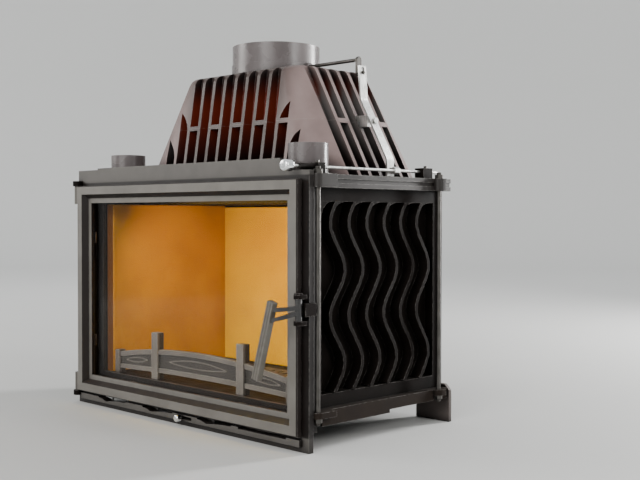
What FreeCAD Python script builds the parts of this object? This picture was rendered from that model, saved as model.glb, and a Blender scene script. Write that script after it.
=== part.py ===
import FreeCAD
import Part
import math
import os

V = FreeCAD.Vector
X_AXIS = V(1, 0, 0)
Y_AXIS = V(0, 1, 0)
Z_AXIS = V(0, 0, 1)

# Driving dimensions, in millimetres. X runs across the front, Y from the front to the back, Z up.
# The origin is on the floor under the middle of the appliance.

# Where the front face of the door lies
DOOR_FACE_Y = -197.0

# Main sizes, from which the rest takes its place
DOOR_HALF_W = 373.5
WALL_H = 422.0
FIREBOX_DEPTH = 374.0
BASE_UNDER_Z = 45.0
HOOD_H = 241.0
COLLAR_R = 100.0

# Clearances and fits
DOOR_GAP = 3.0
RUNNING_FIT = 0.08
PRESS_FIT = 0.02
SIDE_PLAY = 0.4

# How many flat steps stand for a cast corner, a shoulder, a bend and small or large rounds
CORNER_STEPS = 4
SHOULDER_STEPS = 3
BEND_STEPS = 3
SMALL_SIDES = 10
KNOB_SIDES = 20
LARGE_SIDES = 36

# Front plate: a casting with the door opening, the lintel above it and the apron below it
PLATE_EDGE = 16.5
PLATE_T = 12.0
JAMB_DEPTH = 28.0
JAMB_WALL = 10.0
JAMB_FLANGE_T = 7.0
JAMB_FLANGE_W = 26.0
LINTEL_H = 27.0
LINTEL_CROWN_H = 3.5
LINTEL_CROWN_INSET = 80.0
LINTEL_NOTCH_BESIDE_ROD = 21.0
LINTEL_NOTCH_FLOOR_H = 6.0
SILL_PROUD = 8.0
SILL_BELOW_DOOR = 6.0
SILL_H = 13.0
SILL_END_INSET = 1.5

# Air slots in the apron; their places along it are shares of the door's half width
BOW_LEFT_SHARES = (-0.795, -0.332, 0.182)
BOW_W_SHARE = 0.289
BOW_SIDE_DEPTH = 4.0
BOW_PEAK_DEPTH = 10.0
BOW_PEAK_SHARE = 0.28
BOW_ARC_SHARE = 0.25
BOW_BELOW_DOOR = 4.5
PLAIN_SLOT_SHARE = 0.53
PLAIN_SLOT_W_SHARE = 0.37
PLAIN_SLOT_H = 5.0

# Door
DOOR_OVER_WALL = 16.0
DOOR_UNDER_BASE = 45.0
DOOR_PROUD = 16.0
LIP_W = 20.0
LIP_T = 12.0
LIP_CHAMFER = 2.5
REVEAL_DEPTH = 14.0
REVEAL_DRAFT = 9.0
INNER_FRAME_W = 11.0
INNER_FRAME_T = 7.0
SEAL_LAND = 11.5
ROPE_W = 7.0
ROPE_GROOVE_DEPTH = 4.0
ROPE_GAP = 0.3

# Door glass and what holds it
GLASS_T = 4.0
GLASS_OVERLAP = 12.0
GASKET_T = 2.0
GASKET_W = 10.0
CLIP_L = 26.0
CLIP_FOOT_W = 13.0
CLIP_TONGUE = 11.0
CLIP_T = 3.0

# Door hinge
HINGE_OUT = 9.5
HINGE_SETBACK = 8.0
KNUCKLE_R = 7.0
KNUCKLE_H = 42.0
HINGE_PIN_R = 4.0
HINGE_PIN_REACH = 28.0
HINGE_LUG_T = 12.0
HINGE_LUG_R = 11.0
HINGE_WASHER_GAP = 0.3

# Door latch and handle
LATCH_BELOW_MIDDLE = 2.0
LATCH_EAR_SPAN = 41.0
LATCH_EAR_T = 8.0
LATCH_EAR_R = 9.0
LATCH_NECK_DEPTH = 6.0
LATCH_PLATE_T = 5.0
LATCH_SEAT = 1.5
LATCH_PIN_R = 4.0
LATCH_PIN_OUT = 12.5
LATCH_PIN_FORWARD = 8.0
LATCH_HEAD_H = 3.0
HUB_R = 7.0
FINGER_W = 6.0
FINGER_REACH = 15.0
FINGER_H = 18.0
KEEPER_GAP = 0.6
KEEPER_T = 8.0
KEEPER_H = 24.0
ARM_W = 8.0
ARM_T = 8.0
ARM_SPACING = 21.0
ARM_NECK_HALF = 4.5
ARM_DROP = 9.0
ARM_STEPS = 5
GRIP_L = 154.0
GRIP_W = 16.0
GRIP_T = 13.0
GRIP_TILT = 16.5
GRIP_STANDOFF = 43.0
GRIP_SIDE = 30.0
GRIP_ABOVE_LATCH = 17.5
GRIP_FLUTE_R = 2.0
GRIP_FLUTE_OFFSET = 3.2

# Base casting
BODY_LEDGE = 15.0
BASE_RIM_H = 18.0
BASE_REAR_STEP = 7.0
BASE_STEP_SHARE = 0.51
BASE_FLOOR_T = 12.0
BASE_RIM_W = 14.0
PIT_HALF_W = 130.0
PIT_FRONT = 84.0
PIT_BACK = 100.0
PIT_WALL = 6.0
PIT_UNDER_Z = 8.0
PIT_AIR_HALF_W = 60.0
PIT_AIR_H = 18.0

# Walls
WALL_T = 9.0
BAND_OUT = 21.0
BAND_TOP_H = 26.0
BAND_BOTTOM_H = 26.0
BAND_SIDE_W = 17.0
BACK_WALL_T = 10.0
BACK_RIB_OUT = 7.0
BACK_RIB_T = 8.0
BACK_RIB_COUNT = 5
BACK_RIB_PITCH = 110.0
BACK_RIB_END = 30.0

# Wavy fins of the side walls
FIN_COUNT = 6
FIN_FIRST = 58.0
FIN_LAST = 56.0
FIN_OUT = 25.0
FIN_T = 8.0
FIN_SWING = 30.0
FIN_HALF_WAVE = 91.0
FIN_TOP_PEAK = 67.0
FIN_LEAST_TAIL = 23.0
FIN_BEND_R = 46.0

# Top plate
TOP_T = 26.0
TOP_RIM_H = 12.0
TOP_RIM_COVER = 4.0
TOP_RIM_FRONT_W = 12.0
MOULDING_H = 8.0
MOULDING_DEPTH = 3.0
SMOKE_INSET = 51.0

# Tie rods that clamp the top plate to the base
TIE_R = 5.0
TIE_OUT = 4.0
TIE_FRONT_INSET = 12.0
TIE_REAR_INSET = 36.0
TIE_EAR_R = 12.0
TIE_NUT_H = 8.0
TIE_NUT_R = 9.5
TIE_NUT_ROOM = 2.0
TIE_END = 5.0

# Feet at the back
FOOT_W = 91.0
FOOT_T = 10.0
FOOT_H = 81.0
FOOT_CHAMFER = 12.0

# Smoke hood: two finned castings
HOOD_LEDGE = 60.0
HOOD_BATTER = 133.0
HOOD_FRONT_SETBACK = 84.0
HOOD_SEAM_SHARE = 0.502
HOOD_BASE_CORNER_R = 80.0
HOOD_TOP_CORNER_R = 48.0
HOOD_SHOULDER_R = 24.0
HOOD_SHOULDER_START = 20.0
HOOD_WALL = 9.0
HOOD_ROOF_T = 12.0
GROOVE_DEPTH_BASE = 30.0
GROOVE_DEPTH_TOP = 18.0
FRONT_GROOVE_PAIRS = 6
FRONT_GROOVE_MARGIN = 20.0
FRONT_FIN_T = 9.0
MEDIUM_TIP_SHARE = 0.668
SHORT_TIP_SHARE = 0.415
TIP_RISE = 42.0
TIP_BULGE_ACROSS = 0.32
TIP_BULGE_DOWN = 0.46
SIDE_GROOVE_COUNT = 6
SIDE_GROOVE_MARGIN = 56.0
SIDE_FIN_T = 9.0
TIP_STEPS = 4
SEAM_BAR_H = 10.0

# Flue collar
COLLAR_LEDGE = 18.0
COLLAR_WALL = 6.0
COLLAR_H = 65.0
COLLAR_STOP_PROUD = 2.0
COLLAR_STOP_H = 22.0

# Air spigots on the top plate
SPIGOT_OVER_WALL = 8.0
SPIGOT_SETBACK = 42.0
SPIGOT_R = 40.0
SPIGOT_WALL = 4.0
SPIGOT_H = 63.0
SPIGOT_TAIL = 8.0
SPIGOT_FLANGE_W = 7.0
SPIGOT_FLANGE_T = 4.0

# Firebox contents
LINING_T = 26.0
LINING_FRONT = 4.0
LINING_BACK_STEP = 4.0
BAFFLE_T = 12.0
BAFFLE_FRONT = 94.0
BAFFLE_EDGE = 6.0
BAFFLE_HEADROOM = 15.0
GRATE_LEDGE = 11.0
GRATE_REBATE = 6.0
GRATE_T = 12.0
GRATE_PLAY = 1.0
GRATE_SLOT_COUNT = 9
GRATE_END_BAR = 16.0
GRATE_SLOT_W = 12.0
PAN_PLAY = 6.0
PAN_H = 42.0
PAN_WALL = 2.0

# Log guard behind the glass
GUARD_SETBACK = 5.0
GUARD_T = 12.0
GUARD_END_GAP = 10.0
GUARD_END_BOTTOM = 11.0
GUARD_END_TOP = 48.0
GUARD_ARCH = 24.0
GUARD_BELLY = 6.0
GUARD_POST_SHARE = 0.487
GUARD_POST_W = 22.0
GUARD_POST_H = 105.0
GUARD_POST_PROUD = 3.0
GUARD_END_POST_W = 16.0
GUARD_END_POST_H = 54.0
GUARD_PANEL_MARGIN = 10.0
GUARD_PANEL_DEPTH = 4.0

# Air slide behind the apron
SLIDE_T = 3.0
SLIDE_HALF_SHARE = 0.723
SLIDE_BELOW_DOOR = 4.0
SLIDE_H = 18.0
SLIDE_GAP = 0.3
PORT_BELOW_SLOT = 2.0
RAIL_T = 3.5
RAIL_LIP = 3.0
RAIL_OVERHANG = 40.0
AIR_TRAVEL = 30.0
AIR_KNOB_X = 16.0
AIR_KNOB_BELOW_DOOR = 12.0
AIR_KNOB_R = 7.5
AIR_KNOB_L = 14.0
AIR_KNOB_CHAMFER = 2.5
AIR_STEM_R = 3.0
AIR_STEM_CLEAR = 0.6
AIR_KNOB_STANDOFF = 3.0

# Damper control: push rod, lever, shaft and flap
ROD_INSET = 24.0
ROD_ABOVE_TOP = 14.0
ROD_R = 3.0
ROD_FRONT = 10.0
ROD_END_INSET = 19.0
KNOB_R = 11.5
KNOB_NECK_R = 6.0
KNOB_NECK_L = 4.0
KNOB_CHAMFER = 4.0
KNOB_L = 26.0
KNOB_BORE_DEPTH = 12.0
BEARING_W = 24.0
BEARING_CAP = 8.0
BEARING_FRONT_L = 18.0
BEARING_FRONT_SETBACK = 2.0
SLEEVE_R = 6.0
BEARING_REAR_L = 30.0
BEARING_REAR_INSET = 48.0
DOG_R = 8.0
DOG_L = 16.0
STUD_R = 3.0
STUD_SLOT_PLAY = 0.7
STUD_SLOT_EXTRA = 2.6
LEVER_W = 22.0
LEVER_T = 4.0
LEVER_BEND_R = 24.0
LEVER_FROM_ROD = 15.0
LEVER_TAIL_BELOW = 11.0
LEVER_TAIL_H = 24.0
LEVER_KINK_SHARE = 0.693
LEVER_KINK_OUT = 80.0
LEVER_TOP_OUT = 75.0
LEVER_TOP_ABOVE = 14.0
PIVOT_R = 4.0
PIVOT_HEAD_R = 6.5
PIVOT_HEAD_T = 3.0
PIVOT_HEAD_GAP = 6.5
BRACKET_W = 12.0
BRACKET_H = 24.0
BRACKET_GAP = 10.0
SHAFT_R = 4.0
SHAFT_ABOVE_HOOD = 12.0
SHAFT_BOSS_R = 9.0
SHAFT_BOSS_L = 12.0
SHAFT_END_WALL = 3.0
CRANK_R = 28.0
CRANK_T = 6.0
CRANK_W = 14.0
CRANK_GAP = 7.0
CRANK_PIN_R = 3.0
CRANK_PIN_TAIL = 7.0
CRANK_SLOT_PLAY = 1.4
CRANK_SLOT_UP = 6.5
FLAP_GAP = 9.0
FLAP_T = 4.0
FLAP_HUB_HALF = 7.0
FLAP_TILT = 30.0

# Planes from the front to the back
PLATE_FACE_Y = DOOR_FACE_Y + DOOR_PROUD
PLATE_BACK_Y = PLATE_FACE_Y + PLATE_T
JAMB_BACK_Y = PLATE_BACK_Y + JAMB_DEPTH
BACK_INNER_Y = JAMB_BACK_Y + FIREBOX_DEPTH
BACK_OUTER_Y = BACK_INNER_Y + BACK_WALL_T
REAR_Y = BACK_OUTER_Y + FOOT_T
DOOR_BACK_Y = DOOR_FACE_Y + REVEAL_DEPTH + INNER_FRAME_T
GLASS_FRONT_Y = DOOR_BACK_Y + GASKET_T
GLASS_BACK_Y = GLASS_FRONT_Y + GLASS_T
PIT_FRONT_Y = JAMB_BACK_Y + PIT_FRONT
PIT_BACK_Y = BACK_INNER_Y - PIT_BACK
FIN_PITCH = (FIREBOX_DEPTH - FIN_FIRST - FIN_LAST) / (FIN_COUNT - 1)

# Widths from the middle outwards
PLATE_HALF_W = DOOR_HALF_W + PLATE_EDGE
WALL_INNER_X = DOOR_HALF_W - SEAL_LAND - JAMB_FLANGE_W
WALL_SKIN_X = WALL_INNER_X + WALL_T
BODY_HALF_W = WALL_SKIN_X + FIN_OUT + BODY_LEDGE
TIE_X = BODY_HALF_W + TIE_OUT
ROD_X = BODY_HALF_W - ROD_INSET
SPIGOT_X = WALL_INNER_X + SPIGOT_OVER_WALL - SPIGOT_R
GUARD_HALF_W = WALL_INNER_X - LINING_T - GUARD_END_GAP
SLIDE_HALF_W = DOOR_HALF_W * SLIDE_HALF_SHARE
BOW_W = DOOR_HALF_W * BOW_W_SHARE
GRATE_SLOT_PITCH = 2 * (PIT_HALF_W - GRATE_END_BAR - GRATE_SLOT_W / 2) / (GRATE_SLOT_COUNT - 1)

# Levels
BASE_FLOOR_Z = BASE_UNDER_Z + BASE_RIM_H
BASE_TOP_Z = BASE_FLOOR_Z + BASE_FLOOR_T
WALL_TOP_Z = BASE_TOP_Z + WALL_H
TOP_Z = WALL_TOP_Z + TOP_T
LINTEL_TOP_Z = TOP_Z + LINTEL_H
HOOD_TOP_Z = TOP_Z + HOOD_H
SEAM_Z = TOP_Z + HOOD_H * HOOD_SEAM_SHARE
DOOR_BOTTOM_Z = BASE_TOP_Z - DOOR_UNDER_BASE
DOOR_TOP_Z = WALL_TOP_Z + DOOR_OVER_WALL
DOOR_H = DOOR_TOP_Z - DOOR_BOTTOM_Z
BOW_TOP_Z = DOOR_BOTTOM_Z - BOW_BELOW_DOOR
SLIDE_BOTTOM_Z = DOOR_BOTTOM_Z - SLIDE_BELOW_DOOR - SLIDE_H
AIR_KNOB_Z = DOOR_BOTTOM_Z - AIR_KNOB_BELOW_DOOR
LATCH_Z = (DOOR_BOTTOM_Z + DOOR_TOP_Z) / 2 - LATCH_BELOW_MIDDLE
LINING_SIDE_H = WALL_H - BAFFLE_HEADROOM - BAFFLE_T
ROD_Z = TOP_Z + ROD_ABOVE_TOP
SHAFT_Z = HOOD_TOP_Z + SHAFT_ABOVE_HOOD
CRANK_Z = SHAFT_Z - CRANK_R
LEVER_KINK_Z = TOP_Z + HOOD_H * LEVER_KINK_SHARE

# Hood sizes that follow
HOOD_BASE_HALF_W = BODY_HALF_W - HOOD_LEDGE
HOOD_TOP_HALF_W = HOOD_BASE_HALF_W - HOOD_BATTER
HOOD_BASE_HALF_D = (REAR_Y - JAMB_BACK_Y - HOOD_FRONT_SETBACK) / 2
HOOD_TOP_HALF_D = COLLAR_R + COLLAR_LEDGE
FRONT_GROOVE_PITCH = (HOOD_BASE_HALF_W - HOOD_BASE_CORNER_R - FRONT_GROOVE_MARGIN) / FRONT_GROOVE_PAIRS
FRONT_GROOVE_W = FRONT_GROOVE_PITCH - FRONT_FIN_T
SIDE_GROOVE_PITCH = 2 * (HOOD_BASE_HALF_D - SIDE_GROOVE_MARGIN) / SIDE_GROOVE_COUNT
SIDE_GROOVE_W = SIDE_GROOVE_PITCH - SIDE_FIN_T
FLUE_Y = REAR_Y - HOOD_BASE_HALF_D
FLUE_BORE_R = COLLAR_R - COLLAR_WALL
FLAP_R = FLUE_BORE_R - FLAP_GAP
LEVER_TAIL_X = ROD_X - LEVER_FROM_ROD
LEVER_KINK_X = HOOD_TOP_HALF_W + LEVER_KINK_OUT
LEVER_TOP_X = HOOD_TOP_HALF_W + LEVER_TOP_OUT

# Door places that follow
DOOR_TUB_INSET = SEAL_LAND + DOOR_GAP
GLASS_INSET = LIP_W + REVEAL_DRAFT + INNER_FRAME_W
HINGE_X = -DOOR_HALF_W - HINGE_OUT
HINGE_Y = DOOR_FACE_Y + HINGE_SETBACK
LATCH_X = DOOR_HALF_W + LATCH_PIN_OUT
LATCH_Y = DOOR_FACE_Y - LATCH_PIN_FORWARD

# Small helpers


def box(x0, x1, y0, y1, z0, z1):
    """Block between two corners."""
    return Part.makeBox(x1 - x0, y1 - y0, z1 - z0, V(x0, y0, z0))


def rod(radius, start, axis, length):
    """Round bar from a start point along an axis."""
    return Part.makeCylinder(radius, length, start, axis)


def prism(radius, sides, start, axis, length):
    """Bar with flat sides along an axis, by the radius to its corners."""
    wire = flat_sided_ring(radius, sides, start, axis)
    return Part.Face(wire).extrude(axis * length)


def flat_sided_ring(radius, sides, centre, axis):
    across = V(axis.y, axis.z, axis.x)
    up = axis.cross(across)
    corners = []
    for k in range(sides):
        angle = 2 * math.pi * (k + 0.5) / sides
        corners.append(centre + across * (radius * math.cos(angle)) + up * (radius * math.sin(angle)))
    return Part.makePolygon(corners + corners[:1])


def flat_sided_way(radius, start, axis, length, sides=SMALL_SIDES):
    """Cutter with small flat sides that clears a round of a radius."""
    return prism(radius / math.cos(math.pi / sides), sides, start, axis, length)


def skin(wires, split=False):
    """Solid with flat faces from ring to ring; faces that would be twisted are split in two."""
    rings = [[corner.Point for corner in wire.OrderedVertexes] for wire in wires]
    outlines = []
    for low, high in zip(rings, rings[1:]):
        for k in range(len(low)):
            after = (k + 1) % len(low)
            if split:
                outlines.append([low[k], low[after], high[after]])
                outlines.append([low[k], high[after], high[k]])
            else:
                outlines.append([low[k], low[after], high[after], high[k]])
    sides = [Part.Face(Part.makePolygon(corners + corners[:1])) for corners in outlines]
    shell = Part.Shell([Part.Face(wires[0]), Part.Face(wires[-1])] + sides)
    shell.sewShape()
    solid = Part.Solid(shell)
    if solid.Volume < 0:
        solid.reverse()
    return solid


def turned(profile, sides, start, axis):
    """Turned piece with flat sides, from a list of radii and distances along its axis."""
    wires = [flat_sided_ring(radius, sides, start + axis * along, axis) for radius, along in profile]
    return skin(wires)


def mirrored(shape):
    """The same shape on the other side of the middle plane."""
    return shape.mirror(V(0, 0, 0), X_AXIS)


def group(shapes):
    return Part.makeCompound(shapes)


def fused(first, *others):
    return first.multiFuse(list(others)).removeSplitter()


def ring(half_w, z0, z1, inset, width, y0, y1):
    """Rectangular frame, inset from an outline by one value and as wide as another."""
    outer = box(inset - half_w, half_w - inset, y0, y1, z0 + inset, z1 - inset)
    hole = inset + width
    return outer.cut(box(hole - half_w, half_w - hole, y0, y1, z0 + hole, z1 - hole))


def bent_band(points, bend_r, width, place):
    """Face of a flat strip of even width along a bent line; place turns (a, b) into a point in space."""
    headings = []
    for k in range(len(points) - 1):
        run = points[k + 1][0] - points[k][0]
        rise = points[k + 1][1] - points[k][1]
        headings.append(math.atan2(rise, run))
    near = band_side(points, headings, bend_r, width / 2)
    far = band_side(points, headings, bend_r, -width / 2)
    corners = [place(a, b) for a, b in near + far[::-1]]
    return Part.Face(Part.makePolygon(corners + corners[:1]))


def band_side(points, headings, bend_r, side):
    """Corners of one side of a bent strip, with each bend in even steps."""
    line = [shifted(points[0], headings[0], 0, side)]
    for k in range(1, len(points) - 1):
        turn = headings[k] - headings[k - 1]
        reach = bend_r * math.tan(abs(turn) / 2)
        sign = math.copysign(1, turn)
        start = shifted(points[k], headings[k - 1], -reach, 0)
        centre = shifted(start, headings[k - 1], 0, sign * bend_r)
        for step in range(BEND_STEPS + 1):
            heading = headings[k - 1] + turn * step / BEND_STEPS
            line.append(shifted(centre, heading, 0, side - sign * bend_r))
    line.append(shifted(points[-1], headings[-1], 0, side))
    return line


def shifted(point, heading, along, across):
    """A point moved along a heading, and across it to the left."""
    a = point[0] + along * math.cos(heading) - across * math.sin(heading)
    b = point[1] + along * math.sin(heading) + across * math.cos(heading)
    return (a, b)


def rounded_rectangle(half_w, half_d, radius, z):
    """Wire of a rectangle about the flue axis, with each corner turned in even flat steps."""
    corners = []
    for quarter, sx, sy in ((0, 1, 1), (1, -1, 1), (2, -1, -1), (3, 1, -1)):
        for step in range(CORNER_STEPS + 1):
            angle = math.radians(90 * (quarter + step / CORNER_STEPS))
            x = sx * (half_w - radius) + radius * math.cos(angle)
            y = FLUE_Y + sy * (half_d - radius) + radius * math.sin(angle)
            corners.append(V(x, y, z))
    return Part.makePolygon(corners + corners[:1])


# Front plate and base


def bow_lefts():
    return [DOOR_HALF_W * share for share in BOW_LEFT_SHARES]


def bow_slot(left):
    """Air slot with a straight top and a lower edge of two arcs that meet at a peak."""
    right = left + BOW_W
    peak = left + BOW_W * BOW_PEAK_SHARE
    side_z = BOW_TOP_Z - BOW_SIDE_DEPTH
    peak_z = BOW_TOP_Z - BOW_PEAK_DEPTH
    y = PLATE_FACE_Y - SILL_PROUD

    def at(x, z):
        return V(x, y, z)

    def lower_arc(end):
        middle = at((peak + end) / 2, side_z - (side_z - peak_z) * BOW_ARC_SHARE)
        return Part.Arc(at(peak, peak_z), middle, at(end, side_z)).toShape()

    edges = [
        Part.LineSegment(at(left, BOW_TOP_Z), at(right, BOW_TOP_Z)).toShape(),
        Part.LineSegment(at(right, BOW_TOP_Z), at(right, side_z)).toShape(),
        Part.LineSegment(at(left, BOW_TOP_Z), at(left, side_z)).toShape(),
        lower_arc(left),
        lower_arc(right),
    ]
    face = Part.Face(Part.Wire(Part.__sortEdges__(edges)))
    return face.extrude(Y_AXIS * (SILL_PROUD + PLATE_T))


def knob_slot(y0, y1):
    """Slot in the apron along which the stem of the air knob travels."""
    half = AIR_STEM_R + AIR_STEM_CLEAR
    end = AIR_KNOB_X + AIR_TRAVEL
    slot = box(AIR_KNOB_X, end, y0, y1, AIR_KNOB_Z - half, AIR_KNOB_Z + half)
    ends = [rod(half, V(x, y0, AIR_KNOB_Z), Y_AXIS, y1 - y0) for x in (AIR_KNOB_X, end)]
    return fused(slot, *ends)


def front_plate():
    sill_y = PLATE_FACE_Y - SILL_PROUD
    plate = box(-PLATE_HALF_W, PLATE_HALF_W, PLATE_FACE_Y, PLATE_BACK_Y, 0, LINTEL_TOP_Z)
    crown_half = PLATE_HALF_W - LINTEL_CROWN_INSET
    crown = box(-crown_half, crown_half, PLATE_FACE_Y, PLATE_BACK_Y,
                LINTEL_TOP_Z, LINTEL_TOP_Z + LINTEL_CROWN_H)
    sill_half = DOOR_HALF_W - SILL_END_INSET
    sill_top = DOOR_BOTTOM_Z - SILL_BELOW_DOOR
    sill = box(-sill_half, sill_half, sill_y, PLATE_FACE_Y, sill_top - SILL_H, sill_top)
    open_half = DOOR_HALF_W - SEAL_LAND
    open_low = DOOR_BOTTOM_Z + SEAL_LAND
    jamb_half = open_half + JAMB_WALL
    jamb = box(-jamb_half, jamb_half, PLATE_BACK_Y, JAMB_BACK_Y, open_low - JAMB_WALL, TOP_Z)
    plate = fused(plate, crown, sill, jamb)
    flange_y = JAMB_BACK_Y - JAMB_FLANGE_T
    opening = box(-open_half, open_half, PLATE_FACE_Y, flange_y, open_low, DOOR_TOP_Z - SEAL_LAND)
    fire_mouth = box(-WALL_INNER_X, WALL_INNER_X, flange_y, JAMB_BACK_Y, BASE_TOP_Z, WALL_TOP_Z)
    notch = box(ROD_X - LINTEL_NOTCH_BESIDE_ROD, PLATE_HALF_W, PLATE_FACE_Y, PLATE_BACK_Y,
                TOP_Z + LINTEL_NOTCH_FLOOR_H, LINTEL_TOP_Z)
    plain_x = DOOR_HALF_W * PLAIN_SLOT_SHARE
    plain = box(plain_x, plain_x + DOOR_HALF_W * PLAIN_SLOT_W_SHARE, sill_y, PLATE_BACK_Y,
                BOW_TOP_Z - PLAIN_SLOT_H, BOW_TOP_Z)
    bows = [bow_slot(left) for left in bow_lefts()]
    return plate.cut([opening, fire_mouth, notch, plain, knob_slot(sill_y, PLATE_BACK_Y)] + bows)


def tie_places():
    """Where the four tie rods stand."""
    rows = (PLATE_BACK_Y + TIE_FRONT_INSET, BACK_OUTER_Y - TIE_REAR_INSET)
    return [(sx * TIE_X, y) for sx in (-1, 1) for y in rows]


def with_tie_ears(plate, z0, z1):
    """Round ears on the edge of a plate, bored for the tie rods."""
    ears = [prism(TIE_EAR_R, SMALL_SIDES, V(x, y, z0), Z_AXIS, z1 - z0) for x, y in tie_places()]
    for x, y in tie_places():
        neck_end = max(y, JAMB_BACK_Y + TIE_EAR_R)
        ears.append(box(x - TIE_EAR_R, x + TIE_EAR_R, y, neck_end + TIE_EAR_R, z0, z1))
    bores = [flat_sided_way(TIE_R + RUNNING_FIT, V(x, y, z0), Z_AXIS, z1 - z0) for x, y in tie_places()]
    return fused(plate, *ears).cut(bores)


def base_plate():
    floor = box(-BODY_HALF_W, BODY_HALF_W, JAMB_BACK_Y, BACK_OUTER_Y, BASE_FLOOR_Z, BASE_TOP_Z)
    floor = with_tie_ears(floor, BASE_FLOOR_Z, BASE_TOP_Z)
    step_y = JAMB_BACK_Y + (BACK_OUTER_Y - JAMB_BACK_Y) * BASE_STEP_SHARE
    rim = box(-BODY_HALF_W, BODY_HALF_W, JAMB_BACK_Y, BACK_OUTER_Y, BASE_UNDER_Z, BASE_FLOOR_Z)
    inside = box(BASE_RIM_W - BODY_HALF_W, BODY_HALF_W - BASE_RIM_W, JAMB_BACK_Y + BASE_RIM_W,
                 BACK_OUTER_Y - BASE_RIM_W, BASE_UNDER_Z, BASE_FLOOR_Z)
    rear_step = box(-BODY_HALF_W, BODY_HALF_W, step_y, BACK_OUTER_Y,
                    BASE_UNDER_Z, BASE_UNDER_Z + BASE_REAR_STEP)
    nut_ways = [flat_sided_way(TIE_NUT_R + TIE_NUT_ROOM, V(x, y, BASE_UNDER_Z), Z_AXIS, BASE_RIM_H)
                for x, y in tie_places()]
    rim = rim.cut([inside, rear_step] + nut_ways)
    pit_way = box(-PIT_HALF_W, PIT_HALF_W, PIT_FRONT_Y, PIT_BACK_Y, BASE_FLOOR_Z, BASE_TOP_Z)
    rebate = box(-PIT_HALF_W - GRATE_LEDGE, PIT_HALF_W + GRATE_LEDGE, PIT_FRONT_Y - GRATE_LEDGE,
                 PIT_BACK_Y + GRATE_LEDGE, BASE_TOP_Z - GRATE_REBATE, BASE_TOP_Z)
    return fused(floor, rim).cut([pit_way, rebate])


def ash_pit():
    """Cast box under the base plate, open to the air at the front, that the ash pan stands in."""
    wide = PIT_HALF_W + PIT_WALL
    outer = box(-wide, wide, PIT_FRONT_Y - PIT_WALL, PIT_BACK_Y + PIT_WALL, PIT_UNDER_Z, BASE_FLOOR_Z)
    inside = box(-PIT_HALF_W, PIT_HALF_W, PIT_FRONT_Y, PIT_BACK_Y, PIT_UNDER_Z + PIT_WALL, BASE_FLOOR_Z)
    air_way = box(-PIT_AIR_HALF_W, PIT_AIR_HALF_W, PIT_FRONT_Y - PIT_WALL, PIT_FRONT_Y,
                  BASE_FLOOR_Z - PIT_AIR_H, BASE_FLOOR_Z)
    return outer.cut([inside, air_way])


# Walls


def wavy_fin(y):
    """One cast fin: a band that waves from the bottom band of the wall to the top band."""
    z0 = BASE_TOP_Z + BAND_BOTTOM_H
    z1 = WALL_TOP_Z - BAND_TOP_H
    first_peak = WALL_TOP_Z - FIN_TOP_PEAK
    peaks = []
    side = -1
    z = first_peak
    while z > z0 + FIN_LEAST_TAIL:
        peaks.append((y + side * FIN_SWING, z))
        side = -side
        z -= FIN_HALF_WAVE
    slope = 2 * FIN_SWING / FIN_HALF_WAVE
    top = (y - FIN_SWING + slope * (z1 - first_peak), z1)
    last_y, last_z = peaks[-1]
    bottom = (last_y + side * slope * (last_z - z0), z0)
    face = bent_band([top] + peaks + [bottom], FIN_BEND_R, FIN_T, lambda a, b: V(WALL_SKIN_X, a, b))
    fin = face.extrude(X_AXIS * FIN_OUT)
    between = box(WALL_SKIN_X, WALL_SKIN_X + FIN_OUT, JAMB_BACK_Y, BACK_INNER_Y, z0, z1)
    return fin.common(between)


def side_wall():
    """Right side wall: a plate with a raised border and wavy fins."""
    y0 = JAMB_BACK_Y
    y1 = BACK_INNER_Y
    slab = box(WALL_INNER_X, WALL_SKIN_X + BAND_OUT, y0, y1, BASE_TOP_Z, WALL_TOP_Z)
    panel = box(WALL_SKIN_X, WALL_SKIN_X + BAND_OUT, y0 + BAND_SIDE_W, y1 - BAND_SIDE_W,
                BASE_TOP_Z + BAND_BOTTOM_H, WALL_TOP_Z - BAND_TOP_H)
    fins = [wavy_fin(y0 + FIN_FIRST + k * FIN_PITCH) for k in range(FIN_COUNT)]
    return fused(slab.cut(panel), *fins)


def back_wall():
    half = WALL_SKIN_X + FIN_OUT
    plate = box(-half, half, BACK_INNER_Y, BACK_OUTER_Y, BASE_TOP_Z, WALL_TOP_Z)
    ribs = []
    for k in range(BACK_RIB_COUNT):
        x = (k - (BACK_RIB_COUNT - 1) / 2) * BACK_RIB_PITCH
        ribs.append(box(x - BACK_RIB_T / 2, x + BACK_RIB_T / 2, BACK_OUTER_Y, BACK_OUTER_Y + BACK_RIB_OUT,
                        BASE_TOP_Z + BACK_RIB_END, WALL_TOP_Z - BACK_RIB_END))
    return fused(plate, *ribs)


# Top plate, tie rods, feet


def spigot_places():
    y = JAMB_BACK_Y + SPIGOT_SETBACK
    return [(-SPIGOT_X, y), (SPIGOT_X, y)]


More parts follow.
